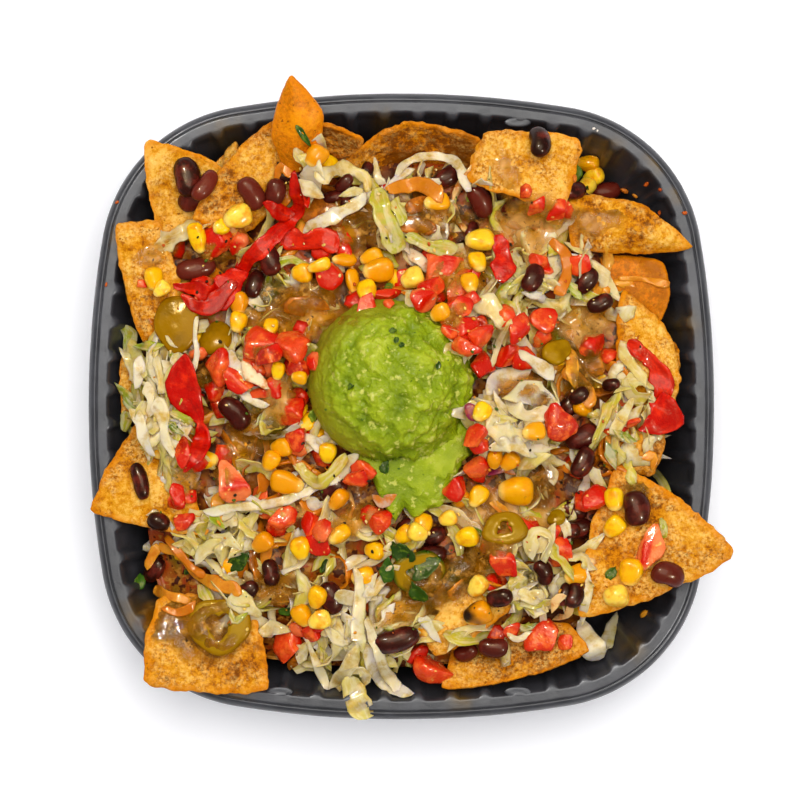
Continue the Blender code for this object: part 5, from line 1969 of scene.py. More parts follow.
BEANS = (
    (-77, 77, 35, 12, 9, 0.6), (-41, 84.5, 15, 10, 6, 0.1, 0), (-21, 82, 35, 8, 5, 0.5, 2),
    (-24.5, 77.5, 20, 9, 5.5, 0.4, 0), (-13, 87, 60, 7, 5, 0.1, 0), (-18, 74.5, 0, 9, 6, 0.0, 0),
    (17, 85, 40, 11, 8, 0.3), (26, 65, 70, 7, 5, 0.2), (41, 74, 60, 11, 7, 0.1), (63, 79.5, 10, 11, 7, 0.05, 0),
    (48, 47, 70, 11, 8, 0.3), (68, 46, 50, 11, 7, 0.2), (73, 38, 20, 10, 7, 0.2), (-54, 45, 80, 11, 7, 0.2),
    (66, -11, 20, 13, 9, 0.5), (66.5, -20.5, 60, 12, 8, 0.3), (77, 8, 0, 7, 5, 0.05), (65, 4, 30, 8, 6, 0.1),
    (63.5, -69, 70, 10, 7, 0.1), (-92, -61, 40, 11, 7, 0.05, 0), (-57, -68, 30, 10, 7, 0.1, 0),
    (-48, -61, 100, 10, 7, 0.15), (24, -91, 30, 9, 7, 0.7), (36, -70, 20, 10, 7, 0.1), (60, -69, 70, 9, 6, 0.1, 0),
    (52, -61, 110, 10, 7, 0.15),
)
CAD_BEANS = (
    (100, 15, 10), (55, 13, 7), (120, 13, 9), (80, 10, 8), (15, 15, 8.5), (110, 12.5, 8.5), (95, 12.5, 8.5),
    (105, 13.5, 8.5), (10, 12.5, 8), (125, 14, 9.5), (105, 14, 6.5), (160, 8.5, 8), (105, 12.5, 9), (15, 17.5, 9.5),
    (100, 13, 10.5), (155, 12.5, 9.5), (5, 11, 8),
)
CORN = (
    (-75, 62, 90, 12, 6.5), (-66, 66, 10, 6.5, 6), (-60, 69.5, 15, 11, 9), (-31, 91, 60, 9, 8),
    (-26, 88, 150, 9.5, 8), (13, 75, 20, 10, 7, 0.2), (28, 53, 90, 8, 6.5), (70, 91, 0, 9, 7, 0.2),
    (72, 86, 30, 9, 7), (69, 82, 60, 8, 6.5, 0.9), (-91, 47, 95, 9, 7), (-88, 43, 40, 7, 5.5), (-60, 38, 100, 9, 7.5),
    (-60, 31, 80, 8, 6.5), (-36.5, 49, 0, 8, 7.5), (-30, 51.5, 10, 9, 5), (-21, 54, 0, 10, 5), (-18, 46, 95, 10, 5),
    (-11, 55, 30, 9, 6), (-8.5, 50, 10, 12, 9, None, 2), (-12.5, 42, 90, 10, 7), (-48, 29, 80, 8, 5.5),
    (-45, 13, 80, 7, 5), (-37, 10.5, 0, 6, 5), (4, 47, 20, 9, 7.5), (25, 45, 80, 8, 6.5), (14, 34, 20, 8, 6.5),
    (29, -2, 60, 8, 6.5), (-44, -15, 20, 9, 7), (-48, -20, 60, 8, 6.5), (-27, -17, 100, 8, 6.5), (-23, -34, 60, 9, 7),
    (-23, -47, 20, 9, 7.5), (-10, -53, 0, 8, 6.5), (1, -47, 30, 8, 6.5), (6, -46, 150, 8, 6.5), (24, -48, 20, 9, 7.5),
    (28, -33, 60, 9, 7), (34, -19, 100, 8, 6.5), (39.5, -20, 60, 8, 6.5), (17, -41, 30, 7, 6, 0.9), (48, -9, 0, 9, 7),
    (-51, -50, 40, 9, 7), (-37, -52, 100, 9, 7), (78, -44, 40, 9, 7.5), (78, -34, 100, 9, 7),
    (64, -62, 20, 9, 7.5, 0.1), (-36.5, -77, 110, 9, 7), (-30, -78.5, 20, 9, 7), (-31, -70, 60, 9, 7),
    (28, -66, 40, 9, 7), (28, -76, 20, 11, 9, 0.0, 2, 1.0, 1.0),
)
CAD_CORN = (
    (80, 10.5, 9), (15, 9.5, 9.5), (5, 11.5, 8), (170, 13, 8.5), (0, 13.5, 11),
)
DICE = (
    (-67, 61, 30, 13, 10, 0.5), (-28, 58, 10, 11, 7, 0.3), (-25, 48, 0, 12, 9, 0.7), (-6, 41, 0, 8, 6, 0.4),
    (-12, 37.5, 20, 7, 6, 0.4), (-53, 23, 20, 14, 13, 0.5), (-48, 19, 60, 9, 8, 0.1, 2),
    (-39.5, 21.5, 30, 12, 12, 0.6), (-37, 13, 0, 8, 7, 0.1), (-46, 7, 40, 8, 7, 0.4), (-40, -2, 20, 9, 8, 0.4),
    (-39, -12, 70, 9, 7, 0.3), (-43, -41, 20, 9, 8, 0.5), (-33, -42, 50, 8, 7, 0.5), (-31, -51, 10, 9, 7, 0.4),
    (-16, -27, 30, 9, 7, 0.5), (-8, -41, 60, 8, 7, 0.5), (15, 52, 10, 13, 10, 0.8), (11, 44, 40, 10, 8, 0.6),
    (21, 44, 70, 11, 8, 0.5), (24, 39, 20, 10, 7, 0.3), (8, 39, 20, 9, 8, 0.85), (19, 36, 50, 10, 9, 0.5),
    (23, 30, 20, 9, 8, 0.4), (28, 25, 60, 9, 8, 0.6), (22.5, 22, 0, 8, 7, 0.5), (29, 14, 30, 9, 8, 0.4),
    (38, 19, 0, 9, 8, 0.5), (43, 29, 30, 9, 8, 0.4), (52, 32, 60, 9, 9, 0.5), (27, -11, 80, 9, 8, 0.5),
    (28, -22, 30, 10, 9, 0.7), (20, -29, 60, 9, 8, 0.5), (46, -46, 20, 10, 9, 0.5), (58, -53, 50, 10, 8, 0.4),
    (37, -58, 0, 9, 8, 0.4), (70, -33, 20, 9, 9, 0.5), (71, 24, 0, 9, 8, 0.2), (49, 73, 30, 7, 6, 0.4),
    (58, 71, 60, 7, 6, 0.4), (65, 52, 20, 9, 7, 0.6), (-68, 15, 80, 12, 11, 0.55), (-61.5, 9.5, -25, 12, 6, 0.4, 2),
    (-69, 6, 20, 9, 7, 0.35), (-33, -84, 30, 7, 6, 0.4), (-41, -89.5, 20, 10, 8, 0.6), (6, -91, 60, 8, 7, 0.5),
    (40, -83, 10, 7, 6, 0.5), (60.5, -87, 0, 5, 5, 0.5), (-52, 5, 30, 7, 5, 0.7), (50, 54, 20, 7, 6, 0.5, 2),
    (-80, -17, 60, 7, 6, 0.1), (-82, -33, 80, 7, 6, 0.2), (-80, -42, 20, 7, 6, 0.3), (-96, 45, 0, 4, 3, 0.8),
    (-74, 38, 120, 9, 6, 0.9), (85, -6, 0, 5, 4, 0.4),
)
CAD_DICE = (
    (40, 11.5, 10), (0, 12.5, 10.5), (70, 12.5, 12), (100, 14, 11), (150, 12.5, 10),
)
PEPPERS = (
    Course((-48, 63, -42, 62, -36, 60.5, -29, 62, -23, 59),
    7, 2.2, 0.6, 2, cup=0.6, frill=0.5, widths=(0.8, 1.1, 0.7, 1.2, 0.7)),
    Course((-37, 80, -38.5, 72, -46, 64, -55, 55, -62, 46),
    7.5, 2.4, 0.55, 2, cup=0.9, widths=(0.9, 1.0, 0.75, 0.95, 0.8, 1.2)),
    Course((-59, 50, -67, 41.5, -75, 43, -84, 44.5), 9, 2.4, 0.45, 2, cup=0.9, widths=(0.9, 1.3, 0.6, 0.25)),
    Course((-61, 46, -69, 38, -75, 36.5, -81, 41), 7, 2, 0.3, 2, cup=0.9, widths=(0.9, 1.1, 0.5, 0.2)),
    Course((-50, 75, -45, 71.5, -40, 70), 6, 2.2, 0.4, 2, frill=0.5, widths=(0.6, 1.2, 0.8)),
    Course((-81, 17, -80, 8, -76.5, 0, -73.5, -6, -73, -12, -75, -18, -79, -24),
    14, 2.4, 0.5, 2, roll=14, cup=1.0, frill=0.5, lobes=0.1, widths=(0.8, 1.1, 0.7, 0.18, 0.55, 0.4, 0.12)),
    Course((83, 23, 90, 19, 95.5, 11, 98, 3), 7, 2.4, 0.6, 2, cup=0.9, widths=(0.7, 0.9, 1.1, 0.8)),
    Course((98, 4, 96.5, -2, 92, -6, 87, -8),
    10, 2.4, 0.5, 2, roll=-15, cup=1.2, frill=0.6, widths=(0.6, 1.2, 1.0, 0.35)),
    Course((36, 63, 37.5, 55, 36, 46), 8, 2.4, 0.5, 2, cup=0.9, widths=(0.6, 1.1, 0.8)),
)
ONIONS = (
    Course((-5, 79, 5, 82, 15, 77), 6, 2.2, 0.45, 2, cup=0.6), Course((-37, 70, -30, 72, -22, 70), 8, 2, 0.1, 1),
    Course((55, 61, 60, 55.5, 60.5, 48, 57.5, 41), 4.5, 2.2, 0.35, 2),
    Course((-73, 52, -68, 48, -64, 41), 5, 2, 0.4, 1),
    Course((-90, -52, -82, -55, -76, -62, -66, -66, -59, -67), 4.5, 2.2, 0.45, 2),
    Course((-87, -48, -80, -57, -73, -63), 3, 1.8, 0.3, 2), Course((-90, -52, -95, -60), 3.5, 1.8, 0.5, 2),
    Course((-92, -68, -85, -70, -78, -72), 4, 1.8, 0.4, 2), Course((-88, -74, -82, -76, -76, -73), 3.5, 1.8, 0.3, 2),
    Course((-40, 33, -34, 36, -27, 33), 5, 1.8, 0.7, 0, cup=0.8), Course((-58, 14, -54, 11, -50, 10), 7, 2, 0.85, 1),
    Course((-10, -34, -6, -35, -3, -32), 5, 2, 0.98, 1), Course((24, 1, 26, -2, 27, -5), 4, 2, 1.0, 1),
    # The first strip on the next line lies across chip_06 and is a painted highlight: a light-orange strand along the
    # ridge of the chip's fold.
    Course((80, 47.5, 89, 47, 99, 45), 2.5, 1.8, 0.5, 1), Course((60, 14, 66, 8, 70, 0), 6, 2, 0.4, 1),
    Course((62, 28, 69, 20, 72, 12), 5, 2, 0.45, 1), Course((58, 24, 63, 17, 62, 9), 5, 2, 0.6, 1),
    Course((2, 72, 8, 74, 14, 70), 7, 2, 0.05, 1, lobes=0.4), Course((0, 66, 7, 67, 12, 64), 6, 2, 0.1, 1),
    Course((40, 66, 46, 70, 52, 66), 6, 2, 0.15, 1), Course((-40, 34, -34, 38, -27, 37), 6, 2, 0.12, 1, lobes=0.4),
    Course((-50, 2, -45, 5, -40, 3), 6, 2, 0.15, 1), Course((2, 57, 7, 54, 10, 50), 4, 1.8, 0.85, 1, cup=0.5),
    Course((32, -24, 37, -22, 41, -25), 4, 1.8, 0.97, 1),
    Course((55, -74, 58, -70, 62, -72, 61, -77, 57, -78), 3, 2, 0.75, 1),
    Course((89, -18, 93, -19, 92, -23), 3, 1.8, 0.5, 1), Course((-40, 84, -44, 88, -46, 82), 3.5, 1.6, 0.4, 1),
    Course((-62, -28, -68, -36, -66, -43), 4, 1.6, 0.6, 0),
)
LETTUCE = (
    Course((-86, 26, -83.5, 22, -79, 20), 1.5, 1.4, 0.3, 3, frill=0.5),
    Course((-64, 20, -60, 14, -55, 10), 4.5, 1.8, 0.05, 1, frill=0.6),
    Course((-30, 89, -33, 83, -36, 78, -35, 74), 9, 3.5, 0.15, 2, cup=-0.8, frill=0.7),
    Course((-40, 81, -34, 80, -29, 78), 6, 2.6, 0.2, 2, frill=0.6),
    Course((-30, 82, -25, 86, -19, 87, -13, 84, -12, 79), 5, 2.8, 0.25, 2, cup=-0.6, arch=1.5),
    Course((-36, 64, -30, 67.5, -23, 70.5, -17, 74, -13, 77), 5, 2, 0.1, 2),
    Course((-22, 77, -17, 79, -13, 78), 3, 1.6, 0.3, 1),
    Course((-9, 80, -8, 76, -7, 71, -4, 64, -1, 57), 8, 2, 0.68, 2, cup=0.8),
    Course((-10, 92, -9, 86, -7, 82), 2.8, 1.6, 0.2, 2), Course((-6, 80, -1, 84, 3, 88), 3.4, 1.8, 0.05, 2),
    Course((-2, 85, 2, 90, 8, 92.5, 15, 92, 21, 89, 25, 79), 3.2, 2, 0.1, 2),
    Course((2, 63, 10, 59, 20, 57), 5, 1.6, 0.72, 2), Course((58, 46, 62, 44, 66, 41), 4, 1.6, 0.75, 2),
    Course((71, 50, 75, 47, 79, 44), 8, 2.6, 0.3, 1, frill=0.7),
    Course((-102, 30, -101, 25, -102, 19), 5, 1.2, 0.8, 1), Course((-101, 24, -97, 18, -94, 11), 4, 1.3, 0.5, 1),
    Course((-103, 21, -100, 15, -98, 8), 3.5, 1.2, 0.3, 1), Course((-97, 23, -93, 22, -88, 22), 4, 1.2, 0.78, 1),
    Course((-97, 18, -96.5, 13, -97, 7), 4.5, 2.6, 0.05, 2), Course((-90, 18, -88, 11, -87, 5), 3.5, 1.8, 0.25, 2),
    Course((-84, 18, -81, 17, -79, 14), 5, 1.8, 0.2, 2), Course((-104, 5, -101, 3, -98, 0), 5, 1.2, 0.85, 1),
    Course((-102, -2, -102, -5, -103, -9), 4, 1.2, 0.7, 1),
    Course((-94, 8, -92, 4, -91, -3), 4.5, 2.4, 0.15, 2, frill=0.6),
    Course((-98, -1, -95, -6, -94, -12, -91, -18), 3.6, 2, 0.05, 2),
    Course((-90, 2, -87, -5, -86, -12, -83, -18), 3.8, 2, 0.1, 2),
    Course((-84, -2, -80, -4, -77, -6), 3, 1.2, 0.85, 2), Course((-85, -6, -83, -8, -80, -10), 3, 1.2, 0.9, 1),
    Course((-75, 33, -75.8, 26, -75, 20, -76, 13), 2, 1.8, 0.15, 2),
    Course((-76, -56, -72, -53, -67, -51), 5, 1.6, 0.2, 1), Course((-68, -47, -64, -49, -61, -52), 5, 1.6, 0.3, 1),
    Course((-70, -39, -68, -42, -65, -44), 4, 1.2, 0.8, 1),
    Course((-72, -39, -61, -37, -50, -36, -42, -34, -35, -31.5, -28, -28, -22, -25, -17, -17), 3.4, 2.2, 0.05, 2),
    Course((-38, -21, -34, -26, -30, -28, -25, -24, -20, -18), 5, 1.6, 0.55, 2),
    Course((-58, 5, -54, 2, -49, 0), 3, 1.8, 0.05, 2), Course((-46, 52, -41, 54, -36, 52), 3.5, 1.4, 0.75, 2),
    Course((-56, 42, -54, 39, -51, 38), 5, 2, 0.15, 1), Course((-36, -11, -32, -13, -29, -16), 4, 1.6, 0.1, 1),
    Course((31, 5, 37, 10, 46, 11), 7, 2, 0.02, 1, frill=0.8),
    Course((41, 2, 48, 5, 55, 4), 8, 2, 0.05, 1, frill=0.8),
    Course((31, -4, 36, -9, 44, -10, 50, -6), 8, 2.2, 0.3, 1, frill=0.8, lobes=0.35),
    Course((34, -16, 40, -13, 46, -16), 6, 2, 0.25, 1, frill=0.8),
    Course((26, 40, 31, 37, 36, 32, 40, 27), 7, 2, 0.3, 1, frill=0.8),
    Course((40, 31, 36, 24, 33, 15), 2.4, 1.6, 0.2, 2), Course((43, 20, 49, 16, 56, 12), 4.5, 2, 0.08, 2),
    Course((45, -23, 48, -20, 52, -17), 5, 1.8, 0.45, 1), Course((80, 22, 85, 15, 90, 9), 4.5, 1.8, 0.4, 2),
    Course((85, 3, 81, -4, 77, -10), 4, 1.8, 0.3, 1), Course((70, -22, 72, -26, 75, -30), 4, 1.8, 0.25, 1),
    Course((75, -14, 77, -17, 79, -20), 4, 1.2, 0.85, 1), Course((80, -9, 82, -11, 85, -13), 3.5, 1.2, 0.85, 1),
    Course((95, -24, 97, -28, 98, -33), 4, 1.4, 0.5, 1), Course((95, -41, 96, -44, 96, -48), 3, 1.2, 0.8, 1),
    Course((69, -62, 68, -70, 66, -78), 4.5, 2, 0.1, 2), Course((66, -79, 69, -86, 73, -94), 7, 2.4, 0.05, 2),
    Course((80, -79, 78, -86, 75, -92), 5, 1.8, 0.15, 1), Course((-71, -72, -72, -69, -74, -66), 5, 1.2, 0.7, 2),
    Course((-62, -69, -57, -73, -52, -77), 6, 2, 0.25, 2), Course((-63, -75, -61, -79, -58, -76), 3, 1.2, 0.72, 2),
    Course((-52, -82, -48, -82, -44, -84), 7, 2.6, 0.2, 2, frill=0.6),
    Course((-30, -91, -28, -94, -26, -97), 4, 1.2, 0.72, 1),
    Course((-16, -60, -15.5, -70, -16, -80, -16, -88), 4.8, 2, 0.12, 2),
    Course((-16, -87, -19, -95, -24, -104), 5, 2, 0.2, 2), Course((-2, -58, -7, -64, -13, -70), 4, 1.8, 0.15, 2),
    Course((-35, -86, -31, -96, -27.5, -105), 2.6, 1.6, 0.15, 2),
    Course((-27, -84, -24, -85, -21, -86), 6, 2.4, 0.2, 2),
    Course((-13, -78, -9, -88, -6, -98, -1, -105), 4, 1.8, 0.12, 2, frill=0.8),
    Course((-18, -100, -17, -107, -13, -115), 8, 1.4, 0.4, 2, frill=0.8),
    Course((7, -77, 9, -79, 13, -86), 4, 1.8, 0.08, 2), Course((39, -84, 43, -86, 48, -83), 3, 1.6, 0.2, 2),
    Course((43, -81, 46, -82, 50, -80), 3, 1.2, 0.85, 2), Course((43, -68, 47, -70, 52, -69), 6, 1.8, 0.3, 1),
    Course((-3, -56, 2, -60, 8, -66), 8, 1.2, 0.95, 1), Course((77, 3, 74, -5, 70, -15), 4, 1.8, 0.62, 2),
)
BEDS = (
    Bed(-87, 2, 9, 20, 58, 98, 20, length=(14, 28), width=(1.8, 4)),
    Bed(-58, -42, 18, 13, 14, 30, 80, length=(9, 20)), Bed(41, -9, 15, 11, 44, 100, 70, (0.0, 0.5)),
    Bed(34, 33, 11, 13, 24, 60, 60, (0.1, 0.7)), Bed(-16, -84, 22, 16, 25, 100, 50, length=(12, 26), width=(2, 5)),
    Bed(-12, -50, 26, 8, 8, 30, 80, length=(8, 16)), Bed(84, -4, 9, 20, 14, 110, length=(9, 18)),
    Bed(54, -60, 18, 18, 20, 60, 80, length=(9, 20)), Bed(-5, 71, 24, 10, 20, 40, 80, length=(9, 18)),
    Bed(50, 48, 20, 18, 14, 60, 80, length=(9, 18)), Bed(-55, 10, 14, 14, 18, 60, 80), Bed(-60, -72, 12, 7, 5, 150),
    Bed(0, 0, 76, 76, 20, 0, 180, length=(9, 18)),
    Bed(-88, -2, 9, 18, 12, 100, 25, length=(14, 24), width=(1.8, 3.5), layer=2),
    Bed(-16, -86, 22, 16, 6, 100, layer=2), Bed(44, -5, 14, 10, 10, 100, layer=2),
    Bed(56, -58, 16, 18, 5, 60, 80, layer=2), Bed(0, 74, 26, 12, 4, 60, 80, layer=2),
)
SLICES = (
    (-68, 25, 80, 14, 12, 0.2, 2, 2), (57, -41, 30, 7, 6, 0.5), (57, 20, 30, 12, 9, 0.4),
)
CAD_SLICES = (
    (90, 22, 17, 0.0, 0.2), (0, 24, 21, 4.5, 0.15), (0, 17, 13, 2.5, 0.1), (0, 20, 17, 4, 1.0),
)
LEAVES = (
    (65.5, 88, 80, 8, 4, 0.5, 2), (-35.5, 98, -62, 10, 2.2, 0.25), (-60, -57, 40, 9, 6, 0.1),
    (0, -53, 150, 10, 7, 0.1, 2), (9, -59, 30, 11, 7, 0.15, 2), (-5, -60, 80, 9, 6, 0.3, 2),
    (6, -68, 120, 9, 6, 0.2, 2), (77, -61, 50, 5, 3.5, 0.3, 2), (-97.5, -65, 60, 6, 4, 0.4),
    (69, 81, 0, 1.6, 1.4, 0.0, 2), (-6, -22, 60, 5, 3.5, 0.2, 3), (-3, 27, 30, 3, 2, 0.2, 3),
    (-2, 24, 80, 2.5, 2, 0.2, 3), (0, 22, 10, 2.2, 1.8, 0.2, 3), (13, 15, 60, 3, 2, 0.2, 3),
    (-18, 7, 20, 2.4, 1.8, 0.2, 3), (-32, -3, 90, 5, 3, 0.8, 2),
)
CRUMBS = (
    (71, 102.5, 20, 1.6, 1.2, 0.0), (72.4, 101.8, 60, 1.0, 0.8, 0.0), (-105, 75.5, 30, 2.2, 1.4, 0.6),
    (96, 72, 70, 2.4, 1.6, 0.6), (104.5, 71.5, 10, 2, 1.5, 0.6), (-109, 45, 80, 2, 1.0, 0.6),
    (91, 82.5, 40, 2.6, 1.8, 0.6), (95.5, 80, 0, 2, 1.5, 0.7), (84, 81, 150, 3.2, 1.8, 0.55),
    (87.5, 79, 150, 2.6, 1.5, 0.5), (90.5, -77.5, 30, 4, 2.4, 0.45), (63.5, 83.5, 80, 4.5, 1.8, 0.55),
)
POOLS = (
    (-50, -4, 70, 34, 24, None, 0, 0.6), (-8, 68, 0, 50, 26, None, 0, 0.6), (62, 22, 90, 44, 30, None, 0, 0.8),
    (10, -66, 0, 44, 24, None, 0, 0.6), (46, 68, 0, 40, 24, None, 0, 0.8), (-46, -66, 0, 30, 14, None, 0, 0.4),
    (40, -40, 0, 44, 28, None, 0, 0.5), (-80, -80, 0, 34, 20, None, 0, 0.8), (-40, 34, 0, 50, 26, None, 0, 0.8),
    (20, 48, 0, 34, 26, 0.6, 0, 0.5), (-36, 39, 15, 30, 14, 0.45, 1, 1.4), (-48, 42, 60, 14, 11),
    (-90, 57, 30, 22, 9, 0.7, 1, 0.5), (-15, 66, 10, 28, 17), (14, 68, 10, 28, 17, 0.35, 1, 1.3),
    (38, 85, 100, 20, 12, 0.85, 1, 0.6), (47, 71, 20, 28, 15, None, 1, 1.2), (-58, -12, 60, 22, 15, None, 1, 1.2),
    (-45, 2, 80, 22, 13, None, 1, 1.2), (-79, -27, 60, 14, 10), (-18, -42, 30, 20, 13), (-46, -69, 20, 18, 11),
    (51, -30, 60, 20, 14, 0.4), (68, 31, 30, 22, 16, None, 1, 1.3), (68, 13, 80, 24, 15, None, 1, 1.2),
    (-80, -78, 0, 40, 22, 0.4, 1, 0.9), (-72, -88, 0, 34, 14, 0.5, 1, 0.6), (43, 7, 15, 20, 11, 0.75),
    (52, 3, 60, 10, 7, 0.2), (86, -31, 20, 14, 9, 0.2), (49, 60, 60, 18, 11), (14, -64, 20, 38, 20, 0.15, 1, 1.6),
    (0, -76, 10, 26, 12, 0.8, 1, 0.8), (26, -58, 10, 18, 12, 0.3, 1, 1.4), (18, 50, 60, 22, 15, 0.7, 1, 0.6),
    (-72, 11, 30, 16, 9, None, 2), (-40, -39, 0, 14, 7, None, 2), (73, 69, 10, 28, 13, 0.5, 2, 0.5),
    (-69, 57, 0, 14, 8, None, 2), (34, -52, 20, 22, 11, 0.4, 2), (-65, -27, 90, 13, 9, 0.6, 2),
    (20, 34, 60, 16, 8, 0.6, 2), (-50, 20, 20, 12, 6, 0.5, 2),
)


def spots(rows: Sequence[Sequence[float | None]]) -> list[Spot]:
    """Spots from rows of their fields, in the order of the fields."""
    return [Spot(*row) for row in rows]


@dataclass
class Layout:
    """Lays the toppings: a random fill first, then each listed one by layers."""

    relief: Relief
    mound: Mound
    guacamole: Guacamole
    fill_margin: float = 4.0
    fill_head_room: float = 1.5
    bed_head_room: float = 6.0
    scoop_margin: float = 4.0
    loose_grains: int = 300

    def __post_init__(self) -> None:
        """Makes the empty kinds and the fill's random numbers."""
        self.chance = np.random.default_rng(5)
        self.beans = Beans(self.relief, 11)
        self.corn = Corn(self.relief, 12)
        self.dice = Dice(self.relief, 13)
        self.peppers = Strips(self.relief, 14, "red_pepper_strips", "red_pepper", thinner=0.6)
        self.onions = Strips(self.relief, 15, "cooked_onion", "cooked_onion", thinner=0.7)
        self.lettuce = Strips(self.relief, 16, "shredded_lettuce", "small_toppings", thinner=0.5)
        self.slices = Slices(self.relief, 17)
        self.leaves = Leaves(self.relief, 18)
        self.sauce = Sauce(self.relief, 19)
        self.crumbs = Crumbs(self.relief, 21)

    def free_places(self, count: int) -> list[Place]:
        """Random places over the heap where nothing stands above it yet.

        Args:
            count: how many are wanted.

        Returns:
            At most that many places in mm.
        """
        places = self.chance.uniform(-104, 104, (count * 6, 2))
        low = self.relief.at(places) < self.mound.height(places) + self.fill_head_room
        kept = places[self.mound.inside(places, self.fill_margin) & low]
        return [tuple(place) for place in kept[:count]]

    def loose(self, kind: Topping, count: int, length: Place, shape: float, tones: Place) -> None:
        """Drops random coarse bodies of one kind; shape is width over length.

        Args:
            kind: the topping.
            count: how many are tried.
            length: shortest and longest, in mm.
            shape: width over length.
            tones: lowest and highest tone.
        """
        for x, y in self.free_places(count):
            size = float(self.chance.uniform(*length))
            tone = float(self.chance.uniform(*tones))
            kind.put(Spot(x, y, float(self.chance.uniform(0, 360)), size, size * shape, tone, fine=False, sink=0.35))

    def shred(self, kind: Strips, bed: Bed, x: float, y: float) -> None:
        """Drops one random bent strip of a bed's kind.

        Args:
            kind: the strips' pile.
            bed: the bed whose sizes it takes.
            x: its middle along X, in mm.
            y: its middle along Y, in mm.
        """
        heading = math.radians(bed.heading + self.chance.normal(0, bed.spread))
        bend = self.chance.normal(0, 0.6)
        half = float(self.chance.uniform(*bed.length)) / 2
        knots = tuple(start + half * share * way(heading + bend * share)
                      for share in (-1.0, -0.3, 0.3, 1.0) for start, way in ((x, math.cos), (y, math.sin)))
        kind.lay(Course(knots, float(self.chance.uniform(*bed.width)), 1.6, float(self.chance.uniform(*bed.tones)),
                        roll=float(self.chance.normal(0, 25)), twist=float(self.chance.normal(0, 50)), frill=0.6,
                        cup=float(self.chance.normal(0, 0.9)), blunt=0.9, lobes=0.45, step=1.7, columns=8, sink=0.5))

    def sow(self, bed: Bed) -> None:
        """Fills one bed of lettuce: places even over its oval.

        Args:
            bed: the bed.
        """
        turn, far = self.chance.uniform(0, FULL_TURN, bed.count), np.sqrt(self.chance.random(bed.count))
        places = np.stack([bed.x + bed.half_x * far * np.cos(turn), bed.y + bed.half_y * far * np.sin(turn)], axis=1)
        low = self.relief.at(places) < self.mound.height(places) + self.bed_head_room
        for number, (x, y) in enumerate(places[low & self.guacamole.clear_of(places, self.scoop_margin)]):
            self.shred(self.lettuce, bed, float(x), float(y))
            if number % 6 == 0:
                dx, dy = self.chance.uniform(-5, 5, 2)
                self.shred(self.lettuce, replace(bed, length=(8, 13), width=(4.5, 8)), float(x + dx), float(y + dy))

    def sprinkle(self, count: int) -> None:
        """Loose grains over the whole heap, apart from the scoop: seeds, bits of tomato, herbs and char.

        Args:
            count: how many are tried.
        """
        places = self.chance.uniform(-100, 100, (count, 2))
        kept = self.mound.inside(places, self.fill_margin) & self.guacamole.clear_of(places, 0.0)
        for x, y in places[kept]:
            size = float(self.chance.uniform(0.7, 1.8))
            tone = float(self.chance.choice([0.2, 0.27, 0.45, 0.6, 0.85, 1.0]))
            self.crumbs.put(Spot(x, y, float(self.chance.uniform(0, 180)), size, 0.7 * size, tone))

    def fill(self) -> None:
        """The buried mix that shows between the placed toppings."""
        lettuce, onion = Bed(0, 0, 0, 0, 0, 0, 180), Bed(0, 0, 0, 0, 0, 0, 180, (0.0, 0.8), width=(2.2, 4.5))
        for count in (14, 6, 2):
            self.loose(self.beans, count, (9, 12), 0.68, (0.0, 0.4))
            self.loose(self.dice, 2 * count, (6.5, 10), 0.85, (0.0, 0.8))
            self.loose(self.corn, 2 * count, (7, 9.5), 0.78, (0.0, 0.6))
            self.loose(self.leaves, 8, (4, 9), 0.6, (0.0, 0.9))
            for kind, bed, number in ((self.onions, onion, 24), (self.lettuce, lettuce, 50)):
                for x, y in self.free_places(number):
                    self.shred(kind, bed, x, y)

    def cad_spots(self, stem: str, shapes: tuple[tuple[float, ...], ...]) -> list[Spot]:
        """Spots over the solid model's own loose parts, which keep its places: heading, length, width, hole, tone.

        Args:
            stem: the nodes' name without its number.
            shapes: a row for each node.

        Returns:
            One spot for each node.
        """
        found = []
        for number, (heading, length, width, *more) in enumerate(shapes, 1):
            low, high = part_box(f"{stem}_{number:02d}")
            x, y = ((low[i] + high[i]) / 2 / MM for i in (0, 1))
            hole, tone = more or (0.0, None)
            found.append(Spot(x, y, heading, length, width, tone, hole=hole))
        return found

    def place(self) -> None:
        """Every placed topping, a layer at a time, with each layer's sauce poured after it."""
        beside = self.chance.uniform((-7, -7, 0, 5), (7, 7, 360, 9), (len(DICE), 4))
        bits = [Spot(spot.x + dx, spot.y + dy, turn, size, 0.85 * size, fine=False, layer=0, sink=0.4)
                for spot, (dx, dy, turn, size) in zip(spots(DICE), beside) if spot.length > 6]
        placed = (
            (self.beans, spots(BEANS) + self.cad_spots("bean", CAD_BEANS)),
            (self.dice, spots(DICE) + self.cad_spots("tomato_dice", CAD_DICE) + bits),
            (self.corn, spots(CORN) + self.cad_spots("corn_kernel", CAD_CORN)),
            (self.slices, spots(SLICES) + self.cad_spots("jalapeno_slice", CAD_SLICES)),
            (self.leaves, spots(LEAVES)),
        )
        for layer in range(4):
            for bed in (b for b in BEDS if b.layer == layer):
                self.sow(bed)
            for strips, courses in ((self.lettuce, LETTUCE), (self.onions, ONIONS), (self.peppers, PEPPERS)):
                for course in (c for c in courses if c.layer == layer):
                    strips.lay(course)
            for kind, placed_spots in placed:
                for spot in (s for s in placed_spots if s.layer == layer):
                    kind.put(spot)
            self.sauce.settle()
            for spot in (s for s in spots(POOLS) if s.layer == layer):
                self.sauce.pour(spot)
        self.sprinkle(self.loose_grains)
        for spot in spots(CRUMBS):
            self.crumbs.put(spot)

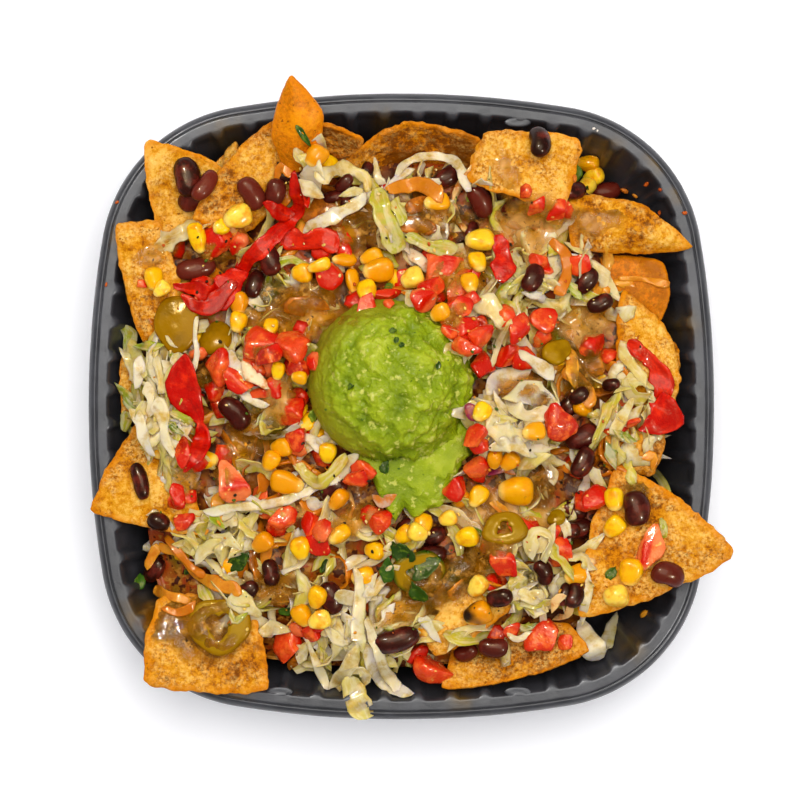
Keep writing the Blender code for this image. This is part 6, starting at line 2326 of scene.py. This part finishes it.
    def finish(self) -> None:
        """Dresses each kind, and lets it stand for the CAD nodes of that kind."""
        self.beans.finish(BEAN_FINISH.material(), *numbered("bean", len(CAD_BEANS)))
        self.corn.finish(CORN_FINISH.material(), *numbered("corn_kernel", len(CAD_CORN)))
        self.dice.finish(TOMATO_FINISH.material(), *numbered("tomato_dice", len(CAD_DICE)))
        self.peppers.finish(PEPPER_FINISH.material(), *numbered("pepper_strip", 4))
        self.onions.finish(ONION_FINISH.material(), *numbered("onion_arc", 2))
        self.slices.finish(SLICE_FINISH.material(), *numbered("jalapeno_slice", len(CAD_SLICES)))
        self.lettuce.finish(LETTUCE_FINISH.material())
        self.leaves.finish(LEAF_FINISH.material())
        self.sauce.finish(SAUCE_FINISH.material())
        self.crumbs.finish(CRUMB_FINISH.material())


def numbered(stem: str, count: int) -> tuple[str, ...]:
    """Names of the solid model's nodes of one kind."""
    return tuple(f"{stem}_{number:02d}" for number in range(1, count + 1))


# --- Floor, lights and camera ------------------------------------------------


@dataclass
class Studio:
    """A pale floor, soft light from above and a camera straight over the tray."""

    rim_z: float = 45.0
    camera_over_rim: float = 1300.0
    frame_width: float = 295.5
    looks_at: Place = (-0.5, 2.4)
    sensor: float = 36.0
    floor_size: float = 6000.0
    floor_z: float = -0.4

    def build(self) -> None:
        """Makes the floor, the lights, the sky and the camera."""
        self.floor()
        self.lights()
        self.camera()

    def floor(self) -> None:
        """A flat white sheet under the tray."""
        half = self.floor_size / 2 * MM
        corners = [(x * half, y * half, self.floor_z * MM) for x, y in ((-1, -1), (1, -1), (1, 1), (-1, 1))]
        mesh = bpy.data.meshes.new("floor")
        mesh.from_pydata(corners, [], [(0, 1, 2, 3)])
        sheet = bpy.data.objects.new("floor", mesh)
        bpy.context.scene.collection.objects.link(sheet)
        material = bpy.data.materials.new("white_table")
        material.use_nodes = True
        shader = material.node_tree.nodes["Principled BSDF"]
        shader.inputs["Base Color"].default_value = (0.90, 0.90, 0.925, 1)
        shader.inputs["Roughness"].default_value = 0.8
        shader.inputs["Specular IOR Level"].default_value = 0.1
        shader.inputs["Emission Color"].default_value = (1.0, 0.98, 1.0, 1)
        shader.inputs["Emission Strength"].default_value = 0.2
        mesh.materials.append(material)

    def lights(self) -> None:
        """One broad soft light overhead, a smaller bright one for glints, and an even white sky."""
        world = bpy.data.worlds.new("sky")
        bpy.context.scene.world = world
        world.use_nodes = True
        background = world.node_tree.nodes["Background"]
        background.inputs["Color"].default_value = (0.93, 0.95, 1.0, 1)
        background.inputs["Strength"].default_value = 0.45
        self.area("broad_light", (110, 330, 1550), 1150, 24.4, (1.0, 0.985, 0.95))
        for name, place, power in (("glint_light", (-420, 620, 1100), 23.0), ("edge_light", (700, -500, 900), 12.0)):
            self.area(name, place, 110, power, (1.0, 0.99, 0.97)).visible_diffuse = False

    def area(
        self, name: str, place: tuple[float, float, float], size: float, power: float, colour: Colour
    ) -> bpy.types.Object:
        """Adds a square light that points at the tray.

        Args:
            name: the light's name.
            place: where it hangs, in mm.
            size: the length of its side, in mm.
            power: its power in watts.
            colour: its linear colour.

        Returns:
            The light's object.
        """
        light = bpy.data.lights.new(name, "AREA")
        light.shape = "SQUARE"
        light.size = size * MM
        light.energy = power
        light.color = colour
        lamp = bpy.data.objects.new(name, light)
        lamp.location = tuple(v * MM for v in place)
        toward = -lamp.location.normalized()
        lamp.rotation_euler = toward.to_track_quat("-Z", "Y").to_euler()
        bpy.context.scene.collection.objects.link(lamp)
        return lamp

    def camera(self) -> None:
        """Looks straight down with +Y up, framing frame_width at the height of the rim."""
        data = bpy.data.cameras.new("overhead")
        data.sensor_width = self.sensor
        data.lens = self.sensor * self.camera_over_rim / self.frame_width
        data.clip_start, data.clip_end = 0.01, 20.0
        view = bpy.data.objects.new("overhead", data)
        x, y = self.looks_at
        view.location = (x * MM, y * MM, (self.rim_z + self.camera_over_rim) * MM)
        view.rotation_euler = (0.0, 0.0, 0.0)
        bpy.context.scene.collection.objects.link(view)
        bpy.context.scene.camera = view
        bpy.context.scene.view_settings.view_transform = "Standard"
        bpy.context.scene.view_settings.look = "None"


def main() -> None:
    """Builds the object from the tray up, then the studio round it."""
    logging.basicConfig(level=logging.INFO, format="%(name)s %(message)s")
    relief = Relief()
    tray = Tray()
    tray.build(relief)
    mound = Mound(tray)
    mound.core(relief)
    Chips().build(relief)
    guacamole = Guacamole(mound)
    layout = Layout(relief, mound, guacamole)
    layout.fill()
    guacamole.build(relief)
    layout.place()
    layout.finish()
    Studio().build()


if __name__ == "__main__":
    main()
